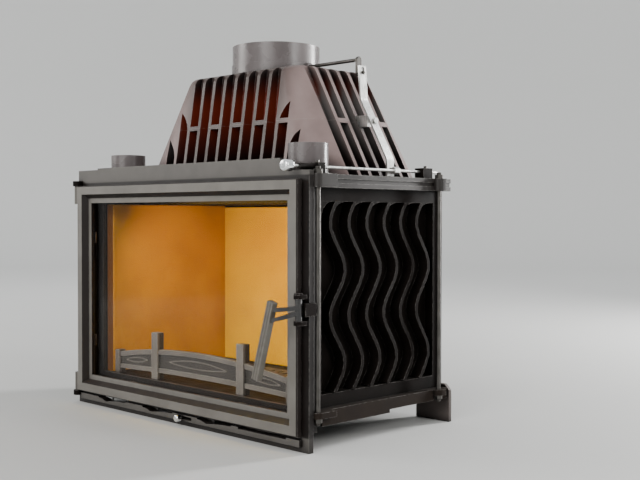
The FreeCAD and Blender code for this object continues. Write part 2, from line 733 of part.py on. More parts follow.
def top_plate():
    plate = box(-BODY_HALF_W, BODY_HALF_W, JAMB_BACK_Y, REAR_Y, WALL_TOP_Z, TOP_Z)
    inner_x = WALL_INNER_X - TOP_RIM_COVER
    recess = box(-inner_x, inner_x, JAMB_BACK_Y + TOP_RIM_FRONT_W, BACK_INNER_Y - TOP_RIM_COVER,
                 WALL_TOP_Z, WALL_TOP_Z + TOP_RIM_H)
    smoke_x = HOOD_BASE_HALF_W - SMOKE_INSET
    smoke_y = HOOD_BASE_HALF_D - SMOKE_INSET
    smoke = box(-smoke_x, smoke_x, FLUE_Y - smoke_y, FLUE_Y + smoke_y, WALL_TOP_Z, TOP_Z)
    middle_z = (WALL_TOP_Z + TOP_Z) / 2
    flute = box(BODY_HALF_W - MOULDING_DEPTH, BODY_HALF_W, JAMB_BACK_Y, REAR_Y,
                middle_z - MOULDING_H / 2, middle_z + MOULDING_H / 2)
    plate = with_tie_ears(plate.cut([recess, smoke, flute, mirrored(flute)]), WALL_TOP_Z, TOP_Z)
    holes = [flat_sided_way(SPIGOT_R + PRESS_FIT, V(x, y, WALL_TOP_Z), Z_AXIS, TOP_T, LARGE_SIDES)
             for x, y in spigot_places()]
    return plate.cut(holes)


def tie_rods():
    """Rods with a nut at each end."""
    start = BASE_FLOOR_Z - TIE_NUT_H - TIE_END
    length = TOP_Z + TIE_NUT_H + TIE_END - start
    rods = []
    for x, y in tie_places():
        bar = prism(TIE_R, SMALL_SIDES, V(x, y, start), Z_AXIS, length)
        nuts = [prism(TIE_NUT_R, 6, V(x, y, z), Z_AXIS, TIE_NUT_H) for z in (BASE_FLOOR_Z - TIE_NUT_H, TOP_Z)]
        rods.append(fused(bar, *nuts))
    return group(rods)


def rear_foot():
    """Right rear foot: an upright plate behind the base."""
    x1 = PLATE_HALF_W
    x0 = x1 - FOOT_W
    outline = [(x0, 0), (x1, 0), (x1, FOOT_H - FOOT_CHAMFER), (x1 - FOOT_CHAMFER, FOOT_H), (x0, FOOT_H)]
    corners = [V(x, BACK_OUTER_Y, z) for x, z in outline]
    return Part.Face(Part.makePolygon(corners + corners[:1])).extrude(Y_AXIS * FOOT_T)


# Smoke hood


def hood_at(base, top, h):
    """A half size of the hood at a height above its base, on the straight slope from base to top."""
    return base + (top - base) * h / HOOD_H


def hood_envelope():
    """Outer form of the hood: straight slopes, round corners, and a round shoulder in flat steps."""
    start = math.radians(HOOD_SHOULDER_START)
    side_h = HOOD_H - HOOD_SHOULDER_R * (1 - math.sin(start))
    wires = [rounded_rectangle(HOOD_BASE_HALF_W, HOOD_BASE_HALF_D, HOOD_BASE_CORNER_R, TOP_Z)]
    for step in range(SHOULDER_STEPS + 1):
        angle = start + (math.pi / 2 - start) * step / SHOULDER_STEPS
        inset = HOOD_SHOULDER_R * (math.cos(start) - math.cos(angle))
        half_w = hood_at(HOOD_BASE_HALF_W, HOOD_TOP_HALF_W, side_h) - inset
        half_d = hood_at(HOOD_BASE_HALF_D, HOOD_TOP_HALF_D, side_h) - inset
        radius = hood_at(HOOD_BASE_CORNER_R, HOOD_TOP_CORNER_R, side_h) - inset
        z = HOOD_TOP_Z - HOOD_SHOULDER_R * (1 - math.sin(angle))
        wires.append(rounded_rectangle(half_w, half_d, radius, z))
    return skin(wires)


def hood_cavity():
    """Inside of the hood and its flue hole."""
    base_inset = GROOVE_DEPTH_BASE + HOOD_WALL
    top_inset = GROOVE_DEPTH_TOP + HOOD_WALL
    roof_h = HOOD_H - HOOD_ROOF_T
    wires = []
    for h, inset in ((0, base_inset), (roof_h, top_inset)):
        half_w = hood_at(HOOD_BASE_HALF_W, HOOD_TOP_HALF_W, h) - inset
        half_d = hood_at(HOOD_BASE_HALF_D, HOOD_TOP_HALF_D, h) - inset
        radius = hood_at(HOOD_BASE_CORNER_R, HOOD_TOP_CORNER_R, h) - HOOD_WALL
        wires.append(rounded_rectangle(half_w, half_d, radius, TOP_Z + h))
    flue_z = TOP_Z + roof_h - HOOD_ROOF_T
    flue = prism(FLUE_BORE_R, LARGE_SIDES, V(0, FLUE_Y, flue_z), Z_AXIS, 2 * HOOD_ROOF_T)
    return fused(skin(wires), flue)


def groove_slab(base_half, top_half, place, span):
    """Everything outside the sloping floor of the grooves on one side of the hood."""
    out = base_half + GROOVE_DEPTH_BASE
    outline = [
        (base_half - GROOVE_DEPTH_BASE, TOP_Z),
        (top_half - GROOVE_DEPTH_TOP, HOOD_TOP_Z),
        (out, HOOD_TOP_Z),
        (out, TOP_Z),
    ]
    corners = [place(a, z) for a, z in outline]
    return Part.Face(Part.makePolygon(corners + corners[:1])).extrude(span)


def seam_gap(cutter):
    """A groove cutter that leaves a bar standing across the groove at the seam."""
    bounds = cutter.BoundBox
    bar = box(bounds.XMin, bounds.XMax, bounds.YMin, bounds.YMax,
              SEAM_Z - SEAM_BAR_H / 2, SEAM_Z + SEAM_BAR_H / 2)
    return cutter.cut(bar)


def front_groove_outline(index):
    """Front view of a groove right of the middle; the outer two end in a point beside the corner."""
    x0 = (index + 0.5) * FRONT_GROOVE_PITCH - FRONT_GROOVE_W / 2
    x1 = x0 + FRONT_GROOVE_W
    medium = HOOD_H * MEDIUM_TIP_SHARE
    short = HOOD_H * SHORT_TIP_SHARE
    tips = {FRONT_GROOVE_PAIRS - 2: medium, FRONT_GROOVE_PAIRS - 1: short}
    y = FLUE_Y - HOOD_BASE_HALF_D - GROOVE_DEPTH_BASE

    def at(x, h):
        return V(x, y, TOP_Z + h)

    if index not in tips:
        corners = [at(x0, 0), at(x1, 0), at(x1, HOOD_H), at(x0, HOOD_H)]
        return Part.Face(Part.makePolygon(corners + corners[:1]))
    tip = tips[index]
    low = tip - TIP_RISE
    bulge = at(x0 + TIP_BULGE_ACROSS * FRONT_GROOVE_W, tip - TIP_BULGE_DOWN * TIP_RISE)
    arc = Part.Arc(at(x1, tip), bulge, at(x0, low)).toShape()
    corners = [at(x0, 0), at(x1, 0)] + arc.discretize(TIP_STEPS + 1)
    return Part.Face(Part.makePolygon(corners + corners[:1]))


def front_grooves():
    """Cutters of all front grooves; every second one is barred at the seam."""
    slab = groove_slab(HOOD_BASE_HALF_D, HOOD_TOP_HALF_D,
                       lambda a, z: V(-HOOD_BASE_HALF_W, FLUE_Y - a, z), X_AXIS * (2 * HOOD_BASE_HALF_W))
    cutters = []
    for index in range(FRONT_GROOVE_PAIRS):
        depth = Y_AXIS * (HOOD_BASE_HALF_D + GROOVE_DEPTH_BASE)
        right = front_groove_outline(index).extrude(depth).common(slab)
        left = mirrored(right)
        if index % 2:
            cutters += [right, seam_gap(left)]
        else:
            cutters += [seam_gap(right), left]
    return cutters


def right_grooves():
    """Cutters of the grooves on the right side."""
    slab = groove_slab(HOOD_BASE_HALF_W, HOOD_TOP_HALF_W,
                       lambda a, z: V(a, FLUE_Y - HOOD_BASE_HALF_D, z), Y_AXIS * (2 * HOOD_BASE_HALF_D))
    cutters = []
    for k in range(SIDE_GROOVE_COUNT):
        y = FLUE_Y + (k - (SIDE_GROOVE_COUNT - 1) / 2) * SIDE_GROOVE_PITCH
        strip = box(0, HOOD_BASE_HALF_W + GROOVE_DEPTH_BASE, y - SIDE_GROOVE_W / 2, y + SIDE_GROOVE_W / 2,
                    TOP_Z, HOOD_TOP_Z)
        cutter = strip.common(slab)
        cutters.append(seam_gap(cutter) if k % 2 else cutter)
    return cutters


def hood(envelope):
    """The whole hood, before it is parted at the seam."""
    front = front_grooves()
    right = right_grooves()
    axis_point = V(0, FLUE_Y, 0)
    back = []
    for cutter in front:
        opposite = cutter.copy()
        opposite.rotate(axis_point, Z_AXIS, 180)
        back.append(opposite)
    left = [mirrored(cutter) for cutter in right]
    return envelope.cut([hood_cavity()] + front + back + right + left)


def hood_half(whole, z0, z1):
    reach_x = HOOD_BASE_HALF_W
    reach_y = HOOD_BASE_HALF_D
    return whole.common(box(-reach_x, reach_x, FLUE_Y - reach_y, FLUE_Y + reach_y, z0, z1))


# Flue collar and air spigots


def flue_collar():
    """Pipe collar that stands on the hood, with a low step and a boss on each side for the shaft."""
    tube = rod(COLLAR_R, V(0, FLUE_Y, HOOD_TOP_Z), Z_AXIS, COLLAR_H)
    stop = prism(COLLAR_R + COLLAR_STOP_PROUD, LARGE_SIDES, V(0, FLUE_Y, HOOD_TOP_Z), Z_AXIS, COLLAR_STOP_H)
    boss_start = COLLAR_R + SHAFT_BOSS_L
    boss = prism(SHAFT_BOSS_R, SMALL_SIDES, V(-boss_start, FLUE_Y, SHAFT_Z), X_AXIS, 2 * boss_start)
    bore = prism(FLUE_BORE_R, LARGE_SIDES, V(0, FLUE_Y, HOOD_TOP_Z), Z_AXIS, COLLAR_H)
    far_end = SHAFT_END_WALL - boss_start
    shaft_way = rod(SHAFT_R + RUNNING_FIT, V(far_end, FLUE_Y, SHAFT_Z), X_AXIS, boss_start - far_end)
    return fused(tube, stop, boss).cut([bore, shaft_way])


def air_spigots():
    """The two spigots, pressed into the top plate."""
    tail_z = TOP_Z - SPIGOT_TAIL
    length = SPIGOT_H + SPIGOT_TAIL
    spigots = []
    for x, y in spigot_places():
        tube = rod(SPIGOT_R, V(x, y, tail_z), Z_AXIS, length)
        bore = rod(SPIGOT_R - SPIGOT_WALL, V(x, y, tail_z), Z_AXIS, length)
        flange = prism(SPIGOT_R + SPIGOT_FLANGE_W, LARGE_SIDES, V(x, y, TOP_Z), Z_AXIS, SPIGOT_FLANGE_T)
        spigots.append(fused(tube, flange).cut(bore))
    return group(spigots)


# Firebox contents


def lining_side():
    """Right lining slab."""
    return box(WALL_INNER_X - LINING_T, WALL_INNER_X, JAMB_BACK_Y + LINING_FRONT, BACK_INNER_Y - LINING_T,
               BASE_TOP_Z, BASE_TOP_Z + LINING_SIDE_H)


def lining_back():
    return box(-WALL_INNER_X, WALL_INNER_X, BACK_INNER_Y - LINING_T, BACK_INNER_Y,
               BASE_TOP_Z, BASE_TOP_Z + LINING_SIDE_H - LINING_BACK_STEP)


def baffle_plate():
    z = BASE_TOP_Z + LINING_SIDE_H
    half = WALL_INNER_X - BAFFLE_EDGE
    return box(-half, half, JAMB_BACK_Y + BAFFLE_FRONT, BACK_INNER_Y - LINING_T, z, z + BAFFLE_T)


def grate():
    y0 = PIT_FRONT_Y - GRATE_LEDGE + GRATE_PLAY
    y1 = PIT_BACK_Y + GRATE_LEDGE - GRATE_PLAY
    half = PIT_HALF_W + GRATE_LEDGE - GRATE_PLAY
    z = BASE_TOP_Z - GRATE_REBATE
    plate = box(-half, half, y0, y1, z, z + GRATE_T)
    slots = []
    for k in range(GRATE_SLOT_COUNT):
        x = (k - (GRATE_SLOT_COUNT - 1) / 2) * GRATE_SLOT_PITCH
        slots.append(box(x - GRATE_SLOT_W / 2, x + GRATE_SLOT_W / 2, PIT_FRONT_Y + GRATE_LEDGE,
                         PIT_BACK_Y - GRATE_LEDGE, z, z + GRATE_T))
    return plate.cut(slots)


def ash_pan():
    half = PIT_HALF_W - PAN_PLAY
    y0 = PIT_FRONT_Y + PAN_PLAY
    y1 = PIT_BACK_Y - PAN_PLAY
    z = PIT_UNDER_Z + PIT_WALL
    tray = box(-half, half, y0, y1, z, z + PAN_H)
    return tray.cut(box(PAN_WALL - half, half - PAN_WALL, y0 + PAN_WALL, y1 - PAN_WALL,
                        z + PAN_WALL, z + PAN_H))


def guard_bar(margin, y, depth):
    """Arched bar of the log guard, drawn in from its edges by a margin."""
    half = GUARD_HALF_W - margin

    def at(x, h):
        return V(x, y, BASE_TOP_Z + h)

    low = GUARD_END_BOTTOM + margin
    high = GUARD_END_TOP - margin
    edges = [
        Part.Arc(at(-half, low), at(0, low + GUARD_BELLY), at(half, low)).toShape(),
        Part.LineSegment(at(half, low), at(half, high)).toShape(),
        Part.Arc(at(half, high), at(0, high + GUARD_ARCH), at(-half, high)).toShape(),
        Part.LineSegment(at(-half, high), at(-half, low)).toShape(),
    ]
    return Part.Face(Part.Wire(edges)).extrude(Y_AXIS * depth)


def log_guard():
    y0 = JAMB_BACK_Y + GUARD_SETBACK
    y1 = y0 + GUARD_T
    bar = guard_bar(0, y0, GUARD_T).cut(guard_bar(GUARD_PANEL_MARGIN, y0, GUARD_PANEL_DEPTH))
    posts = []
    end_x = GUARD_HALF_W - GUARD_END_POST_W / 2
    for x, width, height in ((GUARD_HALF_W * GUARD_POST_SHARE, GUARD_POST_W, GUARD_POST_H),
                             (end_x, GUARD_END_POST_W, GUARD_END_POST_H)):
        post = box(x - width / 2, x + width / 2, y0 - GUARD_POST_PROUD, y1 + GUARD_POST_PROUD,
                   BASE_TOP_Z, BASE_TOP_Z + height)
        posts += [post, mirrored(post)]
    return fused(bar, *posts)


# Door


def frustum(inset_front, inset_back, y0, y1):
    """Tapered block inside the door outline, from one inset at the front to another behind."""
    wires = []
    for inset, y in ((inset_front, y0), (inset_back, y1)):
        half = DOOR_HALF_W - inset
        low = DOOR_BOTTOM_Z + inset
        high = DOOR_TOP_Z - inset
        corners = [V(-half, y, low), V(half, y, low), V(half, y, high), V(-half, y, high)]
        wires.append(Part.makePolygon(corners + corners[:1]))
    return skin(wires)


def door_ring(inset, width, y0, y1):
    return ring(DOOR_HALF_W, DOOR_BOTTOM_Z, DOOR_TOP_Z, inset, width, y0, y1)


def rope_inset():
    return (SEAL_LAND - ROPE_W) / 2


def hinge_ends():
    """End face of each knuckle and the way into it, bottom first."""
    return ((DOOR_BOTTOM_Z, 1), (DOOR_TOP_Z, -1))


def hinge_knuckle(z, way):
    """Round knuckle and web on the left edge of the door, bored for the pin."""
    low = min(z, z + way * KNUCKLE_H)
    barrel = rod(KNUCKLE_R, V(HINGE_X, HINGE_Y, low), Z_AXIS, KNUCKLE_H)
    web = box(HINGE_X, rope_inset() - DOOR_HALF_W, DOOR_FACE_Y + LIP_CHAMFER, DOOR_FACE_Y + LIP_T,
              low, low + KNUCKLE_H)
    return fused(barrel, web)


def hinge_bore(z, way):
    depth = HINGE_PIN_REACH + HINGE_WASHER_GAP
    low = min(z, z + way * depth)
    return rod(HINGE_PIN_R + RUNNING_FIT, V(HINGE_X, HINGE_Y, low), Z_AXIS, depth)


def door_frame():
    lip_back = DOOR_FACE_Y + LIP_T
    chamfered = frustum(LIP_CHAMFER, 0, DOOR_FACE_Y, DOOR_FACE_Y + LIP_CHAMFER)
    lip = frustum(0, 0, DOOR_FACE_Y + LIP_CHAMFER, lip_back)
    tub = frustum(DOOR_TUB_INSET, DOOR_TUB_INSET, lip_back, DOOR_BACK_Y)
    body = fused(chamfered, lip, tub)
    reveal = frustum(LIP_W, LIP_W + REVEAL_DRAFT, DOOR_FACE_Y, DOOR_FACE_Y + REVEAL_DEPTH)
    window = frustum(GLASS_INSET, GLASS_INSET, DOOR_FACE_Y + REVEAL_DEPTH, DOOR_BACK_Y)
    rope_way = door_ring(rope_inset(), ROPE_W, lip_back - ROPE_GROOVE_DEPTH, lip_back)
    body = body.cut([reveal, window, rope_way])
    knuckles = [hinge_knuckle(z, way) for z, way in hinge_ends()]
    bores = [hinge_bore(z, way) for z, way in hinge_ends()]
    latch_way = latch_bracket_tongue(PRESS_FIT)
    return fused(body, *knuckles).cut(bores + [latch_way])


def door_rope_seal():
    start = DOOR_FACE_Y + LIP_T - ROPE_GROOVE_DEPTH
    return door_ring(rope_inset(), ROPE_W, start, PLATE_FACE_Y - ROPE_GAP)


def door_glass():
    inset = GLASS_INSET - GLASS_OVERLAP
    return frustum(inset, inset, GLASS_FRONT_Y, GLASS_BACK_Y)


def glass_gasket():
    return door_ring(GLASS_INSET - GLASS_OVERLAP, GASKET_W, DOOR_BACK_Y, GLASS_FRONT_Y)


def clip_places():
    """Middle of each glass clip's foot, with the direction towards the glass."""
    edge = DOOR_TUB_INSET + CLIP_FOOT_W / 2
    x = DOOR_HALF_W - edge
    middle_z = DOOR_BOTTOM_Z + DOOR_H / 2
    places = []
    for sx in (-1, 1):
        for dz in (-DOOR_H / 4, DOOR_H / 4):
            places.append((V(sx * x, DOOR_BACK_Y, middle_z + dz), V(-sx, 0, 0)))
    for sx in (-1, 1):
        along = sx * DOOR_HALF_W / 2
        places.append((V(along, DOOR_BACK_Y, DOOR_BOTTOM_Z + edge), V(0, 0, 1)))
        places.append((V(along, DOOR_BACK_Y, DOOR_TOP_Z - edge), V(0, 0, -1)))
    return places


def glass_clips():
    clips = []
    for place, inward in clip_places():
        across = inward.cross(Y_AXIS)
        foot = oriented_block(place, inward, across, (-CLIP_FOOT_W / 2, CLIP_FOOT_W / 2),
                              (0, GLASS_BACK_Y + CLIP_T - DOOR_BACK_Y))
        tongue = oriented_block(place, inward, across, (CLIP_FOOT_W / 2, CLIP_FOOT_W / 2 + CLIP_TONGUE),
                                (GLASS_BACK_Y - DOOR_BACK_Y, GLASS_BACK_Y + CLIP_T - DOOR_BACK_Y))
        clips.append(fused(foot, tongue))
    return group(clips)


def oriented_block(place, inward, across, reach, depth):
    """Block of clip length that runs along inward by reach and backwards by depth."""
    half = across * (CLIP_L / 2)
    corners = [place + inward * reach[0] - half, place + inward * reach[1] - half,
               place + inward * reach[1] + half, place + inward * reach[0] + half]
    corners = [c + Y_AXIS * depth[0] for c in corners]
    return Part.Face(Part.makePolygon(corners + corners[:1])).extrude(Y_AXIS * (depth[1] - depth[0]))


# Door hinge on the body


def hinge_lug(z, way):
    """Lug on the front plate, beyond the end of a knuckle, with the pin that it holds."""
    face = z - way * HINGE_WASHER_GAP
    low = min(face, face - way * HINGE_LUG_T)
    eye = prism(HINGE_LUG_R, SMALL_SIDES, V(HINGE_X, HINGE_Y, low), Z_AXIS, HINGE_LUG_T)
    arm = box(HINGE_X - HINGE_LUG_R, HINGE_X + HINGE_LUG_R, HINGE_Y, PLATE_FACE_Y, low, low + HINGE_LUG_T)
    front_only = box(HINGE_X - HINGE_LUG_R, HINGE_X + HINGE_LUG_R, HINGE_Y - HINGE_LUG_R, PLATE_FACE_Y,
                     low, low + HINGE_LUG_T)
    pin = rod(HINGE_PIN_R, V(HINGE_X, HINGE_Y, min(face, face + way * HINGE_PIN_REACH)), Z_AXIS,
              HINGE_PIN_REACH)
    return fused(eye.common(front_only), arm, pin)


def hinge_lugs():
    return group([hinge_lug(z, way) for z, way in hinge_ends()])


# Latch and handle


def latch_levels():
    """Outer and inner faces of the two latch ears."""
    half = LATCH_EAR_SPAN / 2
    return (LATCH_Z - half - LATCH_EAR_T, LATCH_Z - half, LATCH_Z + half, LATCH_Z + half + LATCH_EAR_T)


def latch_bracket_tongue(clearance):
    """Shallow seat of the latch bracket in the edge of the door."""
    z0, low, high, z1 = latch_levels()
    return box(DOOR_HALF_W - LATCH_SEAT, DOOR_HALF_W, DOOR_FACE_Y + LIP_CHAMFER - clearance,
               DOOR_FACE_Y + LIP_T, z0 - clearance, z1 + clearance)


def latch_bracket():
    """Bracket on the edge of the door: two ears and the pin between them."""
    z0, low, high, z1 = latch_levels()
    x0 = DOOR_HALF_W - LATCH_SEAT
    plate = box(x0, x0 + LATCH_PLATE_T, DOOR_FACE_Y + LIP_CHAMFER, DOOR_FACE_Y + LIP_T, z0, z1)
    pieces = [rod(LATCH_PIN_R, V(LATCH_X, LATCH_Y, low), Z_AXIS, high - low)]
    for z in (z0, high):
        pieces.append(prism(LATCH_EAR_R, SMALL_SIDES, V(LATCH_X, LATCH_Y, z), Z_AXIS, LATCH_EAR_T))
        pieces.append(box(DOOR_HALF_W, LATCH_X + LATCH_EAR_R, LATCH_Y, DOOR_FACE_Y + LATCH_NECK_DEPTH,
                          z, z + LATCH_EAR_T))
    head = prism(LATCH_EAR_R - SIDE_PLAY, 6, V(LATCH_X, LATCH_Y, z1), Z_AXIS, LATCH_HEAD_H)
    return fused(plate, head, *pieces)


def latch_keeper():
    """Striker beside the latch finger, carried by the edge of the front plate."""
    x0 = LATCH_X + FINGER_W / 2 + KEEPER_GAP
    y0 = LATCH_Y + HUB_R + KEEPER_GAP
    z0 = LATCH_Z - KEEPER_H / 2
    arm = box(x0, x0 + KEEPER_T, y0, PLATE_BACK_Y, z0, z0 + KEEPER_H)
    plate = box(-PLATE_HALF_W, PLATE_HALF_W, PLATE_FACE_Y, PLATE_BACK_Y, z0, z0 + KEEPER_H)
    return arm.cut(plate)


def grip_middle():
    """Point on the grip's axis level with the latch."""
    return V(LATCH_X - GRIP_SIDE, DOOR_FACE_Y - GRIP_STANDOFF - GRIP_T / 2, LATCH_Z)


def handle_arm(side):
    """One curved arm of the wishbone from the hub to the grip, in steps along a smooth line."""
    middle = grip_middle()
    tilt = math.tan(math.radians(GRIP_TILT))
    end_z = LATCH_Z - ARM_DROP + side * ARM_SPACING / 2
    hub = V(LATCH_X, LATCH_Y, LATCH_Z + side * ARM_NECK_HALF)
    end = V(middle.x + (end_z - LATCH_Z) * tilt, middle.y, end_z)
    knee = V(LATCH_X, middle.y, (hub.z + end_z) / 2)
    wires = []
    for step in range(ARM_STEPS + 1):
        t = step / ARM_STEPS
        point = hub * (1 - t) ** 2 + knee * (2 * t * (1 - t)) + end * t ** 2
        along = (knee - hub) * (1 - t) + (end - knee) * t
        across = V(-along.y, along.x, 0).normalize() * (ARM_W / 2)
        high = V(0, 0, ARM_T / 2)
        corners = [point - across - high, point + across - high, point + across + high, point - across + high]
        wires.append(Part.makePolygon(corners + corners[:1]))
    return skin(wires, split=True)


def handle_lever():
    """Hub on the latch pin with its finger, and the two arms that carry the grip."""
    z0, low, high, z1 = latch_levels()
    hub = prism(HUB_R, SMALL_SIDES, V(LATCH_X, LATCH_Y, low + SIDE_PLAY), Z_AXIS, high - low - 2 * SIDE_PLAY)
    finger = box(LATCH_X - FINGER_W / 2, LATCH_X + FINGER_W / 2, LATCH_Y, LATCH_Y + FINGER_REACH,
                 LATCH_Z - FINGER_H / 2, LATCH_Z + FINGER_H / 2)
    way = rod(LATCH_PIN_R + RUNNING_FIT, V(LATCH_X, LATCH_Y, low), Z_AXIS, high - low)
    return fused(hub, finger, handle_arm(-1), handle_arm(1)).cut([way, grip_block()])


def grip_block():
    """Plain bar of the grip, leaning to the left at its lower end."""
    middle = grip_middle()
    top = GRIP_ABOVE_LATCH
    bar = box(middle.x - GRIP_W / 2, middle.x + GRIP_W / 2, middle.y - GRIP_T / 2, middle.y + GRIP_T / 2,
              middle.z + top - GRIP_L, middle.z + top)
    bar.rotate(middle, Y_AXIS, GRIP_TILT)
    return bar


def handle_grip():
    """The grip with two flutes along its front."""
    middle = grip_middle()
    front = middle.y - GRIP_T / 2
    flutes = []
    for side in (-1, 1):
        x = middle.x + side * GRIP_FLUTE_OFFSET
        flute = rod(GRIP_FLUTE_R, V(x, front, middle.z + GRIP_ABOVE_LATCH - GRIP_L), Z_AXIS, GRIP_L)
        flute.rotate(middle, Y_AXIS, GRIP_TILT)
        flutes.append(flute)
    return grip_block().cut(flutes)


# Air slide


def slide_front_y():
    return PLATE_BACK_Y + SLIDE_GAP


def air_slide_plate():
    y0 = slide_front_y()
    plate = box(-SLIDE_HALF_W, SLIDE_HALF_W, y0, y0 + SLIDE_T, SLIDE_BOTTOM_Z, SLIDE_BOTTOM_Z + SLIDE_H)
    ports = []
    for left in bow_lefts():
        x0 = left + AIR_TRAVEL
        ports.append(box(x0, x0 + BOW_W - AIR_TRAVEL, y0, y0 + SLIDE_T,
                         BOW_TOP_Z - BOW_PEAK_DEPTH, BOW_TOP_Z - PORT_BELOW_SLOT))
    stem_way = rod(AIR_STEM_R + PRESS_FIT, V(AIR_KNOB_X, y0, AIR_KNOB_Z), Y_AXIS, SLIDE_T)
    return plate.cut(ports + [stem_way])


def air_slide_knob():
    knob_back = PLATE_FACE_Y - SILL_PROUD - AIR_KNOB_STANDOFF
    knob_front = knob_back - AIR_KNOB_L
    end = slide_front_y() + SLIDE_T
    stem = rod(AIR_STEM_R, V(AIR_KNOB_X, knob_back, AIR_KNOB_Z), Y_AXIS, end - knob_back)
    profile = [(AIR_KNOB_R - AIR_KNOB_CHAMFER, 0), (AIR_KNOB_R, AIR_KNOB_CHAMFER), (AIR_KNOB_R, AIR_KNOB_L)]
    knob = turned(profile, KNOB_SIDES, V(AIR_KNOB_X, knob_front, AIR_KNOB_Z), Y_AXIS)
    return fused(knob, stem)


def air_slide_rails():
    """Angle rails behind the apron, above and below the slide."""
    half = SLIDE_HALF_W + RAIL_OVERHANG
    lip_y = slide_front_y() + SLIDE_T + SLIDE_GAP
    back = lip_y + RAIL_T
    rails = []
    for edge, way in ((SLIDE_BOTTOM_Z - SLIDE_GAP, -1), (SLIDE_BOTTOM_Z + SLIDE_H + SLIDE_GAP, 1)):
        far = edge + way * RAIL_T
        tip = edge - way * RAIL_LIP
        web = box(-half, half, PLATE_BACK_Y, back, min(edge, far), max(edge, far))
        lip = box(-half, half, lip_y, back, min(edge, tip), max(edge, tip))
        rails.append(fused(web, lip))
    return group(rails)


# Damper control


def rod_start():
    return V(ROD_X, DOOR_FACE_Y - ROD_FRONT, ROD_Z)


def control_rod():
    """Push rod with the clamp and the stud that move the lever."""
    start = rod_start()
    bar = rod(ROD_R, start, Y_AXIS, REAR_Y - ROD_END_INSET - start.y)
    clamp = prism(DOG_R, 6, V(ROD_X, FLUE_Y - DOG_L / 2, ROD_Z), Y_AXIS, DOG_L)
    stud_end = LEVER_TAIL_X - LEVER_T
    stud = rod(STUD_R, V(stud_end, FLUE_Y, ROD_Z), X_AXIS, ROD_X - stud_end)
    return fused(bar, clamp, stud)


def control_knob():
    """Turned knob on the front end of the rod."""
    start = rod_start()
    back = start.y + KNOB_BORE_DEPTH
    head_l = KNOB_L - KNOB_NECK_L
    small_r = KNOB_R - KNOB_CHAMFER
    profile = [(small_r, 0), (KNOB_R, KNOB_CHAMFER), (KNOB_R, head_l - KNOB_CHAMFER), (small_r, head_l)]
    head = turned(profile, KNOB_SIDES, V(ROD_X, back - KNOB_L, ROD_Z), Y_AXIS)
    neck = prism(KNOB_NECK_R, KNOB_SIDES, V(ROD_X, back - KNOB_NECK_L, ROD_Z), Y_AXIS, KNOB_NECK_L)
    way = flat_sided_way(ROD_R + PRESS_FIT, start, Y_AXIS, KNOB_BORE_DEPTH)
    return fused(head, neck).cut(way)


def rod_bearing(y0, y1, sleeve_y):
    """Block on the top plate that the rod slides through; its sleeve reaches from the block to sleeve_y."""
    half = BEARING_W / 2
    block = box(ROD_X - half, ROD_X + half, y0, y1, TOP_Z, ROD_Z + BEARING_CAP)
    sleeve = prism(SLEEVE_R, SMALL_SIDES, V(ROD_X, sleeve_y, ROD_Z), Y_AXIS, y1 - sleeve_y)
    way = rod(ROD_R + RUNNING_FIT, V(ROD_X, sleeve_y, ROD_Z), Y_AXIS, y1 - sleeve_y)
    return fused(block, sleeve).cut(way)


def rod_bearings():
    """Front bearing, whose sleeve comes out through the lintel, and rear bearing."""
    front_y = JAMB_BACK_Y + BEARING_FRONT_SETBACK
    rear_y = REAR_Y - BEARING_REAR_INSET
    front = rod_bearing(front_y, front_y + BEARING_FRONT_L, PLATE_FACE_Y)
    rear = rod_bearing(rear_y - BEARING_REAR_L, rear_y, rear_y - BEARING_REAR_L)
    return group([front, rear])


def upright_slot(half_w, z0, z1, x0, x1):
    """Slot along X for a pin whose middle moves between two heights."""
    return box(x0, x1, FLUE_Y - half_w, FLUE_Y + half_w, z0 - half_w, z1 + half_w)


def pivot_x():
    """Middle of the lever at the height of its pivot."""
    bend_z = ROD_Z + LEVER_TAIL_H
    share = (LEVER_KINK_Z - SEAM_Z) / (LEVER_KINK_Z - bend_z)
    return LEVER_KINK_X + share * (LEVER_TAIL_X - LEVER_KINK_X)


def damper_lever():
    """Bent flat bar that hangs beside the hood on its pivot."""
    top_z = CRANK_Z + LEVER_TOP_ABOVE
    points = [
        (LEVER_TOP_X, top_z),
        (LEVER_KINK_X, LEVER_KINK_Z),
        (LEVER_TAIL_X, ROD_Z + LEVER_TAIL_H),
        (LEVER_TAIL_X, ROD_Z - LEVER_TAIL_BELOW),
    ]
    face = bent_band(points, LEVER_BEND_R, LEVER_T, lambda a, b: V(a, FLUE_Y - LEVER_W / 2, b))
    bar = face.extrude(Y_AXIS * LEVER_W)
    x0 = LEVER_TOP_X - LEVER_W
    x1 = LEVER_TAIL_X + LEVER_W
    low = upright_slot(STUD_R + STUD_SLOT_PLAY, ROD_Z - STUD_SLOT_EXTRA, ROD_Z + STUD_SLOT_EXTRA, x0, x1)
    high = upright_slot(CRANK_PIN_R + CRANK_SLOT_PLAY, CRANK_Z, CRANK_Z + CRANK_SLOT_UP, x0, x1)
    pivot = rod(PIVOT_R + RUNNING_FIT, V(x0, FLUE_Y, SEAM_Z), X_AXIS, x1 - x0)
    return bar.cut([low, high, pivot])


def lever_bracket(envelope):
    """Stay on the seam of the hood, with the headed pin that the lever turns on."""
    x1 = pivot_x() - BRACKET_GAP
    block = box(0, x1, FLUE_Y - BRACKET_W / 2, FLUE_Y + BRACKET_W / 2,
                SEAM_Z - BRACKET_H / 2, SEAM_Z + BRACKET_H / 2)
    end = pivot_x() + PIVOT_HEAD_GAP
    pin = rod(PIVOT_R, V(x1, FLUE_Y, SEAM_Z), X_AXIS, end - x1)
    head = prism(PIVOT_HEAD_R, 6, V(end, FLUE_Y, SEAM_Z), X_AXIS, PIVOT_HEAD_T)
    return fused(block.cut(envelope), pin, head)


def crank_face_x():
    """Outer face of the crank arm, beside the lever."""
    return LEVER_TOP_X - CRANK_GAP


